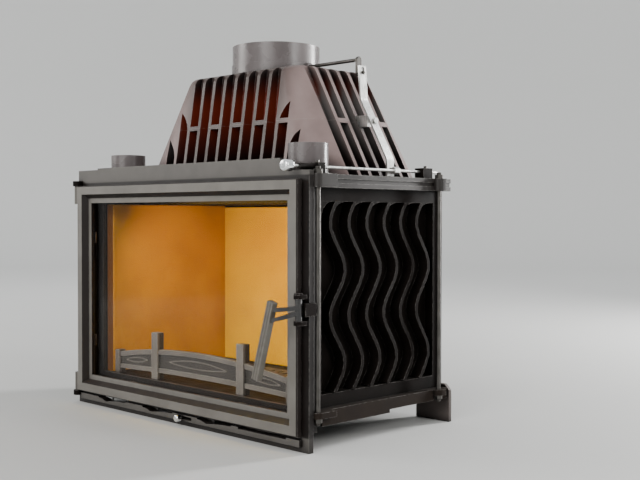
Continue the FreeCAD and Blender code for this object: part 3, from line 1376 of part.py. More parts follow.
def damper_shaft():
    """Shaft through the collar, with a crank arm and pin at its outer end."""
    start = SHAFT_END_WALL + SIDE_PLAY - COLLAR_R - SHAFT_BOSS_L
    face = crank_face_x()
    shaft = rod(SHAFT_R, V(start, FLUE_Y, SHAFT_Z), X_AXIS, face - start)
    ends = [prism(CRANK_W / 2, SMALL_SIDES, V(face - CRANK_T, FLUE_Y, z), X_AXIS, CRANK_T)
            for z in (SHAFT_Z, CRANK_Z)]
    arm = box(face - CRANK_T, face, FLUE_Y - CRANK_W / 2, FLUE_Y + CRANK_W / 2, CRANK_Z, SHAFT_Z)
    pin_end = LEVER_TOP_X + CRANK_PIN_TAIL
    pin = rod(CRANK_PIN_R, V(face, FLUE_Y, CRANK_Z), X_AXIS, pin_end - face)
    return fused(shaft, arm, pin, *ends)


def damper_flap():
    """Round flap with a square hub on the shaft, tilted as it stands half open."""
    disc = prism(FLAP_R, LARGE_SIDES, V(0, FLUE_Y, SHAFT_Z - FLAP_T / 2), Z_AXIS, FLAP_T)
    reach = math.sqrt(FLAP_R ** 2 - FLAP_HUB_HALF ** 2)
    hub = box(-reach, reach, FLUE_Y - FLAP_HUB_HALF, FLUE_Y + FLAP_HUB_HALF,
              SHAFT_Z - FLAP_HUB_HALF, SHAFT_Z + FLAP_HUB_HALF)
    way = rod(SHAFT_R + PRESS_FIT, V(-FLAP_R, FLUE_Y, SHAFT_Z), X_AXIS, 2 * FLAP_R)
    flap = fused(disc, hub).cut(way)
    flap.rotate(V(0, FLUE_Y, SHAFT_Z), X_AXIS, FLAP_TILT)
    return flap


# Every node


def build():
    envelope = hood_envelope()
    whole_hood = hood(envelope)
    wall = side_wall()
    lining = lining_side()
    foot = rear_foot()
    return {
        "front_plate": front_plate(),
        "base_plate": base_plate(),
        "ash_pit": ash_pit(),
        "side_wall_left": mirrored(wall),
        "side_wall_right": wall,
        "back_wall": back_wall(),
        "top_plate": top_plate(),
        "hood_lower": hood_half(whole_hood, TOP_Z, SEAM_Z),
        "hood_upper": hood_half(whole_hood, SEAM_Z, HOOD_TOP_Z),
        "flue_collar": flue_collar(),
        "air_spigots": air_spigots(),
        "tie_rods": tie_rods(),
        "rear_foot_left": mirrored(foot),
        "rear_foot_right": foot,
        "lining_left": mirrored(lining),
        "lining_right": lining,
        "lining_back": lining_back(),
        "baffle_plate": baffle_plate(),
        "grate": grate(),
        "ash_pan": ash_pan(),
        "log_guard": log_guard(),
        "hinge_lugs": hinge_lugs(),
        "latch_keeper": latch_keeper(),
        "rod_bearings": rod_bearings(),
        "lever_bracket": lever_bracket(envelope),
        "air_slide_rails": air_slide_rails(),
        "door_frame": door_frame(),
        "door_glass": door_glass(),
        "glass_gasket": glass_gasket(),
        "glass_clips": glass_clips(),
        "door_rope_seal": door_rope_seal(),
        "latch_bracket": latch_bracket(),
        "handle_lever": handle_lever(),
        "handle_grip": handle_grip(),
        "air_slide_plate": air_slide_plate(),
        "air_slide_knob": air_slide_knob(),
        "control_rod": control_rod(),
        "control_knob": control_knob(),
        "damper_lever": damper_lever(),
        "damper_shaft": damper_shaft(),
        "damper_flap": damper_flap(),
    }


os.makedirs("parts", exist_ok=True)
for name, shape in build().items():
    shape.exportStep("parts/" + name + ".step")
    print(name, len(shape.Solids), shape.isValid(), round(shape.Volume / 1000, 1), "cm3")
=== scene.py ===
# %% [markdown]
# # A cast-iron fireplace insert
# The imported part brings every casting, rod and pin to its right place and size. This lesson dresses it:
# it gives each surface a finish made of nodes, softens the cast edges, replaces the few solids that stand
# for rope, tape and turned metal by finer meshes, and adds the small fixings. Every length is in metres.

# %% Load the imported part
import math

import bpy
from mathutils import Matrix, Vector


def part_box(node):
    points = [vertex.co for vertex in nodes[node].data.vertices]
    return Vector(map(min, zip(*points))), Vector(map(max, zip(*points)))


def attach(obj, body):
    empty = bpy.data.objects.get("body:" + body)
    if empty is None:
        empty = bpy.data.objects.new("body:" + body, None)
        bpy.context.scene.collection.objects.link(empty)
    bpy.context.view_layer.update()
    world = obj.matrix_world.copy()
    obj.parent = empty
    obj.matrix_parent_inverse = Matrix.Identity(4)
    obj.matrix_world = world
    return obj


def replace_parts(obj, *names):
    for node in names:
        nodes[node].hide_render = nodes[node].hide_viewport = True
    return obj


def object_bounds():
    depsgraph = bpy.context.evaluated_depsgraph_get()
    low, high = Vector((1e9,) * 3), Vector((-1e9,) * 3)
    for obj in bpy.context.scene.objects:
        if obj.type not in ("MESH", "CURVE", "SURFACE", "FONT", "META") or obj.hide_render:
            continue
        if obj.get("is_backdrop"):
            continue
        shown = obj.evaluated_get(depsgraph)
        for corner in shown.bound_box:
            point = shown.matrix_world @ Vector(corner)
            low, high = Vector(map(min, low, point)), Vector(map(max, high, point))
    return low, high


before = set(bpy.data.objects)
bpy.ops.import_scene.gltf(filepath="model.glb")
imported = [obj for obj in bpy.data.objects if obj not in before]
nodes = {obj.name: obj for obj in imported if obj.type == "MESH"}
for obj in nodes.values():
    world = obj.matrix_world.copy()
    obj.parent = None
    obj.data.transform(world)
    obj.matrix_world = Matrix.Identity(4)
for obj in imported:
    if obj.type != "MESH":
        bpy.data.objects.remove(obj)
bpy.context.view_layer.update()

# %% [markdown]
# ## Small tools for shader nodes
# A finish is a tree of nodes. Writing each link by hand hides the idea, so short helpers do it: they make a
# group with named sockets and place it, put a sum or a ramp in place, and mix two colours by a mask. A value
# that is a socket is linked, and a plain number is typed into the node.

# %% Groups and links


def feed(tree, socket, value):
    """Link a socket, or set a plain value."""
    if isinstance(value, bpy.types.NodeSocket):
        tree.links.new(value, socket)
    else:
        socket.default_value = value


def new_group(name, inputs, outputs):
    """An empty shader node group with named inputs and outputs."""
    tree = bpy.data.node_groups.new(name, "ShaderNodeTree")
    for label, kind, value in inputs:
        socket = tree.interface.new_socket(name=label, in_out="INPUT", socket_type=kind)
        socket.default_value = value
    for label, kind in outputs:
        tree.interface.new_socket(name=label, in_out="OUTPUT", socket_type=kind)
    entry = tree.nodes.new("NodeGroupInput")
    leave = tree.nodes.new("NodeGroupOutput")
    return tree, entry.outputs, leave.inputs


def use_group(tree, group, **values):
    """Place a group in a material with its own values; returns its outputs."""
    node = tree.nodes.new("ShaderNodeGroup")
    node.node_tree = group
    for label, value in values.items():
        feed(tree, node.inputs[label.replace("_", " ").capitalize()], value)
    return node.outputs


# %% Sums, ramps and mixes


def maths(tree, operation, a, b=0.0, c=0.0):
    node = tree.nodes.new("ShaderNodeMath")
    node.operation = operation
    for socket, value in zip(node.inputs, (a, b, c)):
        feed(tree, socket, value)
    return node.outputs[0]


def vector_maths(tree, operation, a, b=(0.0, 0.0, 0.0)):
    """A sum of vectors; its outputs are Vector and Value."""
    node = tree.nodes.new("ShaderNodeVectorMath")
    node.operation = operation
    feed(tree, node.inputs[0], a)
    feed(tree, node.inputs[1], b)
    return node.outputs


def axes(tree, vector):
    """The X, Y and Z of a vector, as sockets."""
    node = tree.nodes.new("ShaderNodeSeparateXYZ")
    feed(tree, node.inputs[0], vector)
    return node.outputs


def between(tree, value, low, high, out_low=0.0, out_high=1.0):
    """Smooth ramp of a value from one range into another."""
    node = tree.nodes.new("ShaderNodeMapRange")
    node.interpolation_type = "SMOOTHSTEP"
    for label, number in (("Value", value), ("From Min", low), ("From Max", high),
                          ("To Min", out_low), ("To Max", out_high)):
        feed(tree, node.inputs[label], number)
    return node.outputs["Result"]


def mix_colour(tree, mask, first, second, strength=None):
    """Mix two colours by a mask; a colour is a socket, or red, green and blue."""
    if strength is not None:
        mask = maths(tree, "MULTIPLY", mask, strength)
    node = tree.nodes.new("ShaderNodeMix")
    node.data_type = "RGBA"
    feed(tree, node.inputs[0], mask)
    # Sockets 6 and 7 are the two colours of this node, and output 2 is the mixed one.
    for socket, colour in zip(node.inputs[6:8], (first, second)):
        linked = isinstance(colour, bpy.types.NodeSocket)
        feed(tree, socket, colour if linked else (*colour, 1))
    return node.outputs[2]


# %% Textures, places and materials


def noise(tree, place, scale, detail=2.0):
    node = tree.nodes.new("ShaderNodeTexNoise")
    feed(tree, node.inputs["Vector"], place)
    feed(tree, node.inputs["Scale"], scale)
    feed(tree, node.inputs["Detail"], detail)
    return node.outputs["Fac"]


def place_on_part(tree):
    """Coordinates of the surface in the part's own frame."""
    return tree.nodes.new("ShaderNodeTexCoord").outputs["Object"]


def surface_normal(tree):
    """The direction that the surface faces."""
    return tree.nodes.new("ShaderNodeNewGeometry").outputs["Normal"]


def new_material(name):
    mat = bpy.data.materials.new(name)
    mat.use_nodes = True
    tree = mat.node_tree
    shader = tree.nodes["Principled BSDF"]
    return mat, tree, shader


def bump(tree, shader, height, strength, distance):
    node = tree.nodes.new("ShaderNodeBump")
    node.inputs["Strength"].default_value = strength
    node.inputs["Distance"].default_value = distance
    tree.links.new(height, node.inputs["Height"])
    tree.links.new(node.outputs["Normal"], shader.inputs["Normal"])


# %% [markdown]
# ## Shared effects
# Iron cast in sand keeps the sand's grain, and paint thins and polishes along edges that hands and tools
# touch; the same edge mark also paints highlights along lit edges. Recesses get painted shade where ambient
# occlusion finds them closed in. Each of these shows on several finishes, so each is one node group, and
# every finish that needs it places the group with its own values.

# %% Sand-cast skin
LUMP_SHARE = 0.16
LUMP_HEIGHT = 0.6
PATCH_RANGE = (0.32, 0.68)
cast_skin, taken, given = new_group(
    "sand cast skin",
    [("Grain", "NodeSocketFloat", 700.0), ("Blotch", "NodeSocketFloat", 22.0)],
    [("Height", "NodeSocketFloat"), ("Patches", "NodeSocketFloat")])
where = place_on_part(cast_skin)
fine = noise(cast_skin, where, taken["Grain"], 3.0)
lumps = noise(cast_skin, where, maths(cast_skin, "MULTIPLY", taken["Grain"], LUMP_SHARE), 2.0)
feed(cast_skin, given["Height"], maths(cast_skin, "MULTIPLY_ADD", lumps, LUMP_HEIGHT, fine))
patches = noise(cast_skin, where, taken["Blotch"], 4.0)
feed(cast_skin, given["Patches"], between(cast_skin, patches, *PATCH_RANGE))
print("group made:", cast_skin.name)

# %% Edge wear and painted edge highlight
# The edge mark stands for both worn paint and painted highlights along lit edges.
EDGE_TURN = (0.01, 0.16)
CHIP_RANGE = (0.36, 0.6)
edge_wear_and_highlight, taken, given = new_group(
    "edge wear and highlight",
    [("Reach", "NodeSocketFloat", 0.002), ("Chipping", "NodeSocketFloat", 160.0)],
    [("Mask", "NodeSocketFloat")])
rounded = edge_wear_and_highlight.nodes.new("ShaderNodeBevel")
rounded.samples = 4
feed(edge_wear_and_highlight, rounded.inputs["Radius"], taken["Reach"])
agree = vector_maths(edge_wear_and_highlight, "DOT_PRODUCT", rounded.outputs["Normal"], surface_normal(edge_wear_and_highlight))["Value"]
edge = between(edge_wear_and_highlight, maths(edge_wear_and_highlight, "SUBTRACT", 1.0, agree), *EDGE_TURN)
chips = noise(edge_wear_and_highlight, place_on_part(edge_wear_and_highlight), taken["Chipping"], 3.0)
chips = between(edge_wear_and_highlight, chips, *CHIP_RANGE)
feed(edge_wear_and_highlight, given["Mask"], maths(edge_wear_and_highlight, "MULTIPLY", edge, chips))
print("group made:", edge_wear_and_highlight.name)

# %% Recess shade
# Painted shade: the mask is 1 where ambient occlusion finds the surface closed in.
OPEN_TO_CLOSED = (0.9, 0.35)
recess_shade, taken, given = new_group(
    "recess shade",
    [("Reach", "NodeSocketFloat", 0.03)],
    [("Mask", "NodeSocketFloat")])
shade = recess_shade.nodes.new("ShaderNodeAmbientOcclusion")
shade.samples = 8
feed(recess_shade, shade.inputs["Distance"], taken["Reach"])
feed(recess_shade, given["Mask"], between(recess_shade, shade.outputs["AO"], *OPEN_TO_CLOSED))
print("group made:", recess_shade.name)

# %% Faces turned from the front
turned_away, taken, given = new_group(
    "faces turned from the front",
    [("Flat", "NodeSocketFloat", 0.97), ("Steep", "NodeSocketFloat", 0.88)],
    [("Mask", "NodeSocketFloat")])
# Its mask is used to paint shade on faces that turn away from the front.
frontal = maths(turned_away, "ABSOLUTE", axes(turned_away, surface_normal(turned_away))["Y"])
feed(turned_away, given["Mask"], between(turned_away, frontal, taken["Flat"], taken["Steep"]))
print("group made:", turned_away.name)

# %% Settled dust
LEVEL_RANGE = (0.5, 0.98)
DRIFT_RANGE = (0.3, 0.75)
DUST = (0.32, 0.29, 0.26)
settled_dust, taken, given = new_group(
    "settled dust",
    [("Spread", "NodeSocketFloat", 45.0)],
    [("Mask", "NodeSocketFloat")])
upward = between(settled_dust, axes(settled_dust, surface_normal(settled_dust))["Z"], *LEVEL_RANGE)
drift = noise(settled_dust, place_on_part(settled_dust), taken["Spread"], 5.0)
drift = between(settled_dust, drift, *DRIFT_RANGE)
feed(settled_dust, given["Mask"], maths(settled_dust, "MULTIPLY", upward, drift))
print("group made:", settled_dust.name)

# %% Brush marks
SMEAR_SCALE = 55.0
SMEAR_RANGE = (0.35, 0.7)
brush_marks, taken, given = new_group(
    "brush marks",
    [("Stretch", "NodeSocketVector", (1.0, 1.0, 0.02)), ("Scale", "NodeSocketFloat", 900.0)],
    [("Streak", "NodeSocketFloat"), ("Blur", "NodeSocketFloat")])
where = place_on_part(brush_marks)
drawn = vector_maths(brush_marks, "MULTIPLY", where, taken["Stretch"])["Vector"]
feed(brush_marks, given["Streak"], noise(brush_marks, drawn, taken["Scale"], 2.0))
smear = noise(brush_marks, where, SMEAR_SCALE, 3.0)
feed(brush_marks, given["Blur"], between(brush_marks, smear, *SMEAR_RANGE))
print("group made:", brush_marks.name)

# %% [markdown]
# ## Painted iron
# Every casting has the same matt heat-proof paint, so the finishes below are lighter and darker copies of it,
# painted light and shade: the door and the plate around it are painted a lit warm grey, while the walls are
# painted nearly black, in shade. A texture painted by hand would need unwrapping, so one function lays the
# shared groups over each other instead: patches first, then painted shade, worn and painted-highlight edges,
# and dust. Shade is painted into the hollows, the sloping faces of the door, the plate in the door's shadow,
# the ears of the top plate and the sunk panels of the log guard. The edge mark fades in the hollows.

# %% Painted iron
SOFT_BAND, SOFT_EAR, SOFT_PANEL = 0.004, 0.003, 0.001
EAR_SHADE, PANEL_SHADE = 0.85, 0.75


def painted_iron(name, paint, faded, shade_colour, edge_colour, rough, reach=0.03, edge_amount=0.6, dust=0.1, gloss=0.5,
                 dark_sides=0.0, dark_band=None, sunk_y=None, ears_x=None):
    """A paint finish; the last four say where shade is painted, on places darker than the rest."""
    mat, tree, shader = new_material(name)
    shader.inputs["Specular IOR Level"].default_value = gloss
    skin = use_group(tree, cast_skin, grain=620.0, blotch=17.0)
    shade = use_group(tree, recess_shade, reach=reach)["Mask"]
    part = axes(tree, place_on_part(tree))
    painted_shade_places = [(shade, None)]
    if dark_sides:
        painted_shade_places.append((use_group(tree, turned_away)["Mask"], dark_sides))
    if dark_band:
        above = between(tree, part["Z"], dark_band[0], dark_band[0] + SOFT_BAND)
        below = between(tree, part["Z"], dark_band[1], dark_band[1] - SOFT_BAND)
        painted_shade_places.append((maths(tree, "MULTIPLY", above, below), None))
    if ears_x:
        aside = maths(tree, "ABSOLUTE", part["X"])
        painted_shade_places.append((between(tree, aside, ears_x, ears_x + SOFT_EAR), EAR_SHADE))
    if sunk_y:
        painted_shade_places.append((between(tree, part["Y"], sunk_y, sunk_y + SOFT_PANEL), PANEL_SHADE))
    colour = mix_colour(tree, skin["Patches"], paint, faded)
    # Painted shade: each shaded place mixes the colour towards the shade colour.
    for mask, strength in painted_shade_places:
        colour = mix_colour(tree, mask, colour, shade_colour, strength)
    # Edges worn and painted as highlights; the mark fades in the hollows.
    edge = use_group(tree, edge_wear_and_highlight, reach=0.0018, chipping=140.0)["Mask"]
    edge = maths(tree, "MULTIPLY", edge, maths(tree, "SUBTRACT", 1.0, shade))
    colour = mix_colour(tree, edge, colour, edge_colour, edge_amount)
    film = use_group(tree, settled_dust, spread=38.0)["Mask"]
    colour = mix_colour(tree, film, colour, DUST, dust)
    feed(tree, shader.inputs["Base Color"], colour)
    dull = between(tree, skin["Patches"], 0.0, 1.0, rough - 0.05, rough + 0.07)
    feed(tree, shader.inputs["Roughness"], dull)
    bump(tree, shader, skin["Height"], 0.22, 0.0005)
    print("iron finish:", name)
    return mat


# %% Iron of the walls, the base and the feet
# The walls and the base are darker copies of the one paint, painted shade; the feet a lighter, lit copy.
SHADE_BLACK = (0.002, 0.0015, 0.001)
WALL_IRON = painted_iron(
    "wall iron", paint=(0.0036, 0.0025, 0.0020), faded=(0.0065, 0.0046, 0.0040), shade_colour=SHADE_BLACK,
    edge_colour=(0.20, 0.185, 0.175), rough=0.58, edge_amount=0.85, dust=0.05, gloss=0.05)
BASE_IRON = painted_iron(
    "base iron", paint=(0.010, 0.007, 0.0055), faded=(0.016, 0.0115, 0.009), shade_colour=SHADE_BLACK,
    edge_colour=(0.20, 0.19, 0.18), rough=0.72, edge_amount=0.8, dust=0.03, gloss=0.08)
FOOT_IRON = painted_iron(
    "foot iron", paint=(0.066, 0.055, 0.051), faded=(0.084, 0.070, 0.065), shade_colour=(0.004, 0.003, 0.0025),
    edge_colour=(0.22, 0.20, 0.19), rough=0.55, edge_amount=0.8, gloss=0.2)

# %% Iron of the front and the top
# Lit copies of the one paint for the door, plate, collar and top; the band by the door is a painted shadow.
door_low, door_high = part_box("door_frame")
SHADE_BELOW, SHADE_ABOVE = 0.004, 0.009
EARS_START = 0.3765
WORN_LIT_EDGE = (0.27, 0.26, 0.24)
PLATE_SHADE = (0.006, 0.004, 0.0035)
FRONT_IRON = painted_iron(
    "door iron", paint=(0.108, 0.101, 0.091), faded=(0.134, 0.126, 0.114), shade_colour=(0.006, 0.003, 0.0025),
    edge_colour=WORN_LIT_EDGE, rough=0.46, reach=0.015, edge_amount=0.45, dust=0.03, gloss=0.22, dark_sides=0.95)
PLATE_IRON = painted_iron(
    "plate iron", paint=(0.066, 0.061, 0.056), faded=(0.085, 0.079, 0.073), shade_colour=PLATE_SHADE,
    edge_colour=WORN_LIT_EDGE, rough=0.46, edge_amount=0.5, gloss=0.25, dark_sides=0.7,
    dark_band=(door_low.z - SHADE_BELOW, door_high.z + SHADE_ABOVE))
COLLAR_IRON = painted_iron(
    "collar iron", paint=(0.078, 0.066, 0.066), faded=(0.100, 0.085, 0.085), shade_colour=(0.010, 0.008, 0.008),
    edge_colour=(0.30, 0.28, 0.28), rough=0.28, edge_amount=0.5)
TOP_IRON = painted_iron(
    "top plate iron", paint=(0.044, 0.040, 0.036), faded=(0.060, 0.055, 0.050), shade_colour=PLATE_SHADE,
    edge_colour=(0.30, 0.29, 0.27), rough=0.42, reach=0.02, edge_amount=0.75, gloss=0.3, ears_x=EARS_START)

# %% Iron inside the firebox
# Lit copies of the one paint for the grate and the guard; the guard's sunk panels get painted shade.
guard_low, guard_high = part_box("log_guard")
GUARD_RIM = 0.0055
FIRE_IRON = painted_iron(
    "iron inside the firebox", paint=(0.034, 0.029, 0.025), faded=(0.050, 0.043, 0.037),
    shade_colour=(0.004, 0.003, 0.003), edge_colour=(0.20, 0.185, 0.165), rough=0.6, reach=0.009, edge_amount=0.9, dust=0.04,
    gloss=0.3)
GUARD_IRON = painted_iron(
    "guard iron", paint=(0.070, 0.060, 0.052), faded=(0.094, 0.081, 0.070), shade_colour=(0.006, 0.004, 0.003),
    edge_colour=(0.32, 0.29, 0.25), rough=0.55, reach=0.006, edge_amount=1.0, dust=0.04, gloss=0.3,
    sunk_y=guard_low.y + GUARD_RIM)

# %% [markdown]
# ## Hood iron
# The hood is the hottest casting. Its round corners keep a mauve-grey satin, and its middle is painted
# darker, a painted shade that leaves the corners looking lit. The grooves of the front have turned rust red
# at two thirds of the height; near the seat and the shoulder they are painted black, a painted shade, and the
# grooves of the sides carry a painted grey sheen, a reflection of the pale room. So the colour of the hollows
# follows the height on the part and the distance from its middle, and both come from the part's own
# coordinates.

# %% Hood finish
HOOD_SATIN, HOOD_PALE = (0.165, 0.122, 0.116), (0.205, 0.152, 0.145)
HOOD_MIDDLE_SHADE, HOOD_EDGE = (0.046, 0.033, 0.030), (0.24, 0.21, 0.20)
GROOVE_SHADE = (0.005, 0.003, 0.003)
GROOVE_RED, GROOVE_SHEEN = (0.120, 0.016, 0.006), (0.075, 0.068, 0.066)
MIDDLE_TO_CORNER = (0.13, 0.205)
RED_TO_SHEEN = (0.195, 0.22)
HOT_SHARE = 0.62
COLD_SEAT, COLD_TOP = 0.03, 0.01
HOOD_IRON, tree, shader = new_material("hood iron")
shader.inputs["Specular IOR Level"].default_value = 0.16
skin = use_group(tree, cast_skin, grain=640.0, blotch=14.0)
part = axes(tree, place_on_part(tree))
aside = maths(tree, "ABSOLUTE", part["X"])
colour = mix_colour(tree, skin["Patches"], HOOD_SATIN, HOOD_PALE)
# Painted shade: the middle is darker than the corners.
colour = mix_colour(tree, between(tree, aside, *MIDDLE_TO_CORNER), HOOD_MIDDLE_SHADE, colour)
seat_low, hood_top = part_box("hood_lower")[0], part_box("hood_upper")[1]
hot_z = seat_low.z + HOT_SHARE * (hood_top.z - seat_low.z)
climb = between(tree, part["Z"], seat_low.z + COLD_SEAT, hot_z)
fall = between(tree, part["Z"], hood_top.z - COLD_TOP, hot_z + COLD_TOP)
# Rust red in the front grooves, a painted grey sheen, a painted reflection, in the side grooves.
rust_and_sheen = mix_colour(tree, between(tree, aside, *RED_TO_SHEEN), GROOVE_RED, GROOVE_SHEEN)
groove_tone = mix_colour(tree, maths(tree, "MULTIPLY", climb, fall), GROOVE_SHADE, rust_and_sheen)
# Painted shade in the grooves, black towards the seat and the shoulder.
colour = mix_colour(tree, use_group(tree, recess_shade, reach=0.07)["Mask"], colour, groove_tone)
# Edges worn and painted as highlights.
edge = use_group(tree, edge_wear_and_highlight, reach=0.0022, chipping=120.0)["Mask"]
colour = mix_colour(tree, edge, colour, HOOD_EDGE, 0.5)
film = use_group(tree, settled_dust, spread=30.0)["Mask"]
colour = mix_colour(tree, film, colour, DUST, 0.15)
feed(tree, shader.inputs["Base Color"], colour)
feed(tree, shader.inputs["Roughness"], between(tree, skin["Patches"], 0.0, 1.0, 0.33, 0.42))
bump(tree, shader, skin["Height"], 0.24, 0.0005)
print("hood hollows are brownest at", round(hot_z, 3), "m")

# %% [markdown]
# ## Bright metal
# The lever, its bracket and the rod are zinc plated: a bright, slightly blotched grey. The knobs are chromed
# and polished. Clips, rails and the ash pan are plain rolled sheet that has dulled, and the tie rods and the
# damper shaft are bars with the dark scale of the rolling mill. Real metal shows its making in the way
# highlights stretch, so streaks drive both the roughness and a very shallow bump.

# %% Metal finishes
CORNER_SHADE = (0.06, 0.052, 0.045)


def bare_metal(name, bright, dull, rough, stretch, scale, depth):
    mat, tree, shader = new_material(name)
    shader.inputs["Metallic"].default_value = 1.0
    marks = use_group(tree, brush_marks, stretch=stretch, scale=scale)
    colour = mix_colour(tree, marks["Blur"], bright, dull)
    corners = use_group(tree, recess_shade, reach=0.008)["Mask"]
    # Painted shade: corners are darkened towards a dark grey.
    colour = mix_colour(tree, corners, colour, CORNER_SHADE, 0.6)
    feed(tree, shader.inputs["Base Color"], colour)
    feed(tree, shader.inputs["Roughness"], between(tree, marks["Streak"], 0.3, 0.7, rough, rough + 0.14))
    bump(tree, shader, marks["Streak"], depth, 0.0002)
    print("metal:", name)
    return mat


ZINC = bare_metal("zinc plate", bright=(0.74, 0.74, 0.72), dull=(0.56, 0.56, 0.55), rough=0.26,
                  stretch=(1.0, 1.0, 0.03), scale=700.0, depth=0.12)
SHEET_STEEL = bare_metal("sheet steel", bright=(0.30, 0.29, 0.28), dull=(0.17, 0.16, 0.15), rough=0.38,
                         stretch=(0.02, 1.0, 1.0), scale=600.0, depth=0.2)
CHROME = bare_metal("polished chrome", bright=(0.86, 0.87, 0.88), dull=(0.78, 0.79, 0.80), rough=0.05,
                    stretch=(1.0, 0.2, 1.0), scale=400.0, depth=0.02)
DARK_BAR = bare_metal("dark bar", bright=(0.095, 0.090, 0.084), dull=(0.072, 0.068, 0.063), rough=0.36,
                      stretch=(1.0, 1.0, 0.02), scale=500.0, depth=0.08)

# %% [markdown]
# ## Handle enamel
# The handle's arms are dipped in black enamel, and the grip has a second, greyer coat. Enamel is a thin
# glassy layer over metal, which the shader's coat gives directly; it wears duller in patches where fingers
# close on it.

# %% Handle finishes


def enamel(name, deep, pale, edge_colour, coat):
    mat, tree, shader = new_material(name)
    shader.inputs["Coat Roughness"].default_value = 0.18
    skin = use_group(tree, cast_skin, grain=420.0, blotch=60.0)
    edge = use_group(tree, edge_wear_and_highlight, reach=0.0012, chipping=220.0)["Mask"]
    colour = mix_colour(tree, skin["Patches"], deep, pale)
    colour = mix_colour(tree, edge, colour, edge_colour, 0.5)
    feed(tree, shader.inputs["Base Color"], colour)
    feed(tree, shader.inputs["Roughness"], between(tree, skin["Patches"], 0.0, 1.0, 0.30, 0.42))
    feed(tree, shader.inputs["Coat Weight"], between(tree, skin["Patches"], 0.0, 1.0, coat, coat * 0.4))
    bump(tree, shader, skin["Height"], 0.06, 0.0003)
    print("enamel:", name)
    return mat


HANDLE_BLACK = enamel("black enamel", deep=(0.009, 0.009, 0.009), pale=(0.013, 0.012, 0.012),
                      edge_colour=(0.10, 0.095, 0.09), coat=0.25)
GRIP_GREY = enamel("grey enamel", deep=(0.085, 0.077, 0.064), pale=(0.110, 0.100, 0.084),
                   edge_colour=(0.26, 0.25, 0.24), coat=0.35)

# %% [markdown]
# ## Fireclay
# The lining slabs are pressed fireclay with coarse grog in it, so they are speckled pale and dark, ochre to
# buff, and smoked towards the top. Cell noise gives the grog, a finer noise the crumbs, and height on the
# part the smoke. The front ends of the side slabs are dark, because they stay in the door's shade.

# %% Fireclay finish
CRUMB, CLAY_SMOKE, DARK_END = (0.55, 0.34, 0.05), (0.030, 0.024, 0.018), (0.050, 0.012, 0.003)
GROG_SCALE, CLOUD_SCALE, CRUMB_SCALE, WISP_SCALE = 210.0, 9.0, 480.0, 14.0
SPECK_SHARE = (0.45, 0.42, 0.4)
SMOKE_Z = (0.44, 0.60)
WISP_H = 0.16


def fireclay(name, clay, pale, smoke, dark_ends):
    mat, tree, shader = new_material(name)
    shader.inputs["Specular IOR Level"].default_value = 0.1
    where = place_on_part(tree)
    grog = tree.nodes.new("ShaderNodeTexVoronoi")
    feed(tree, grog.inputs["Vector"], where)
    grog.inputs["Scale"].default_value = GROG_SCALE
    specks = between(tree, grog.outputs["Distance"], 0.16, 0.32)
    clouds = between(tree, noise(tree, where, CLOUD_SCALE, 5.0), 0.3, 0.7)
    colour = mix_colour(tree, clouds, clay, pale)
    colour = mix_colour(tree, specks, [c * share for c, share in zip(clay, SPECK_SHARE)], colour)
    crumbs = between(tree, noise(tree, where, CRUMB_SCALE, 2.0), 0.60, 0.68)
    colour = mix_colour(tree, crumbs, colour, CRUMB, 0.55)
    wisps = noise(tree, where, WISP_SCALE, 4.0)
    wisps = maths(tree, "MULTIPLY_ADD", wisps, WISP_H, axes(tree, where)["Z"])
    colour = mix_colour(tree, between(tree, wisps, *SMOKE_Z), colour, CLAY_SMOKE, smoke)
    edge = use_group(tree, edge_wear_and_highlight, reach=0.003, chipping=90.0)["Mask"]
    colour = mix_colour(tree, edge, colour, pale, 0.2)
    frontal = maths(tree, "SUBTRACT", 1.0, use_group(tree, turned_away)["Mask"])
    colour = mix_colour(tree, frontal, colour, DARK_END, dark_ends)
    feed(tree, shader.inputs["Base Color"], colour)
    feed(tree, shader.inputs["Roughness"], between(tree, clouds, 0.0, 1.0, 0.78, 0.92))
    skin = use_group(tree, cast_skin, grain=330.0, blotch=30.0)
    bump(tree, shader, maths(tree, "ADD", skin["Height"], specks), 0.3, 0.0008)
    print("clay:", name)
    return mat


# The side slabs use a darker copy of the back's clay, painted shade; the back is the lit copy.
CLAY_SIDE = fireclay("fireclay of the sides", clay=(0.27, 0.118, 0.002), pale=(0.36, 0.165, 0.003),
                     smoke=0.22, dark_ends=0.9)
CLAY_BACK = fireclay("fireclay of the back", clay=(0.42, 0.225, 0.001), pale=(0.50, 0.285, 0.002),
                     smoke=0.22, dark_ends=0.0)

# %% [markdown]
# ## Ceramic glass
# The pane is clear ceramic glass with a coat against glare, so its refractive index is set low and it mirrors
# little. Real glass lets lamp light through, but a path tracer finds that light only by luck, so rays that
# ask for shadow pass straight through and all others see glass. A breath of soot makes it slightly hazy in
# places.

# %% Glass finish
PANE, tree, shader = new_material("ceramic glass")
shader.inputs["Transmission Weight"].default_value = 1.0
shader.inputs["IOR"].default_value = 1.12
shader.inputs["Base Color"].default_value = (0.97, 0.975, 0.965, 1)
haze = noise(tree, place_on_part(tree), 6.0, 4.0)
feed(tree, shader.inputs["Roughness"], between(tree, haze, 0.45, 0.8, 0.0, 0.05))
clear = tree.nodes.new("ShaderNodeBsdfTransparent")
ray = tree.nodes.new("ShaderNodeLightPath")
blend = tree.nodes.new("ShaderNodeMixShader")
tree.links.new(ray.outputs["Is Shadow Ray"], blend.inputs["Fac"])
tree.links.new(shader.outputs["BSDF"], blend.inputs[1])
tree.links.new(clear.outputs["BSDF"], blend.inputs[2])
tree.links.new(blend.outputs["Shader"], tree.nodes["Material Output"].inputs["Surface"])
print("finish:", PANE.name)

# %% [markdown]
# ## Glass-fibre rope and tape
# The door closes on a braided glass-fibre rope, and the pane is bedded on a woven tape. Both are dyed dark
# grey and go pale where they are pressed. The yarns are too fine to model one by one, so two crossed waves
# give the weave as a bump and as a small change of colour.

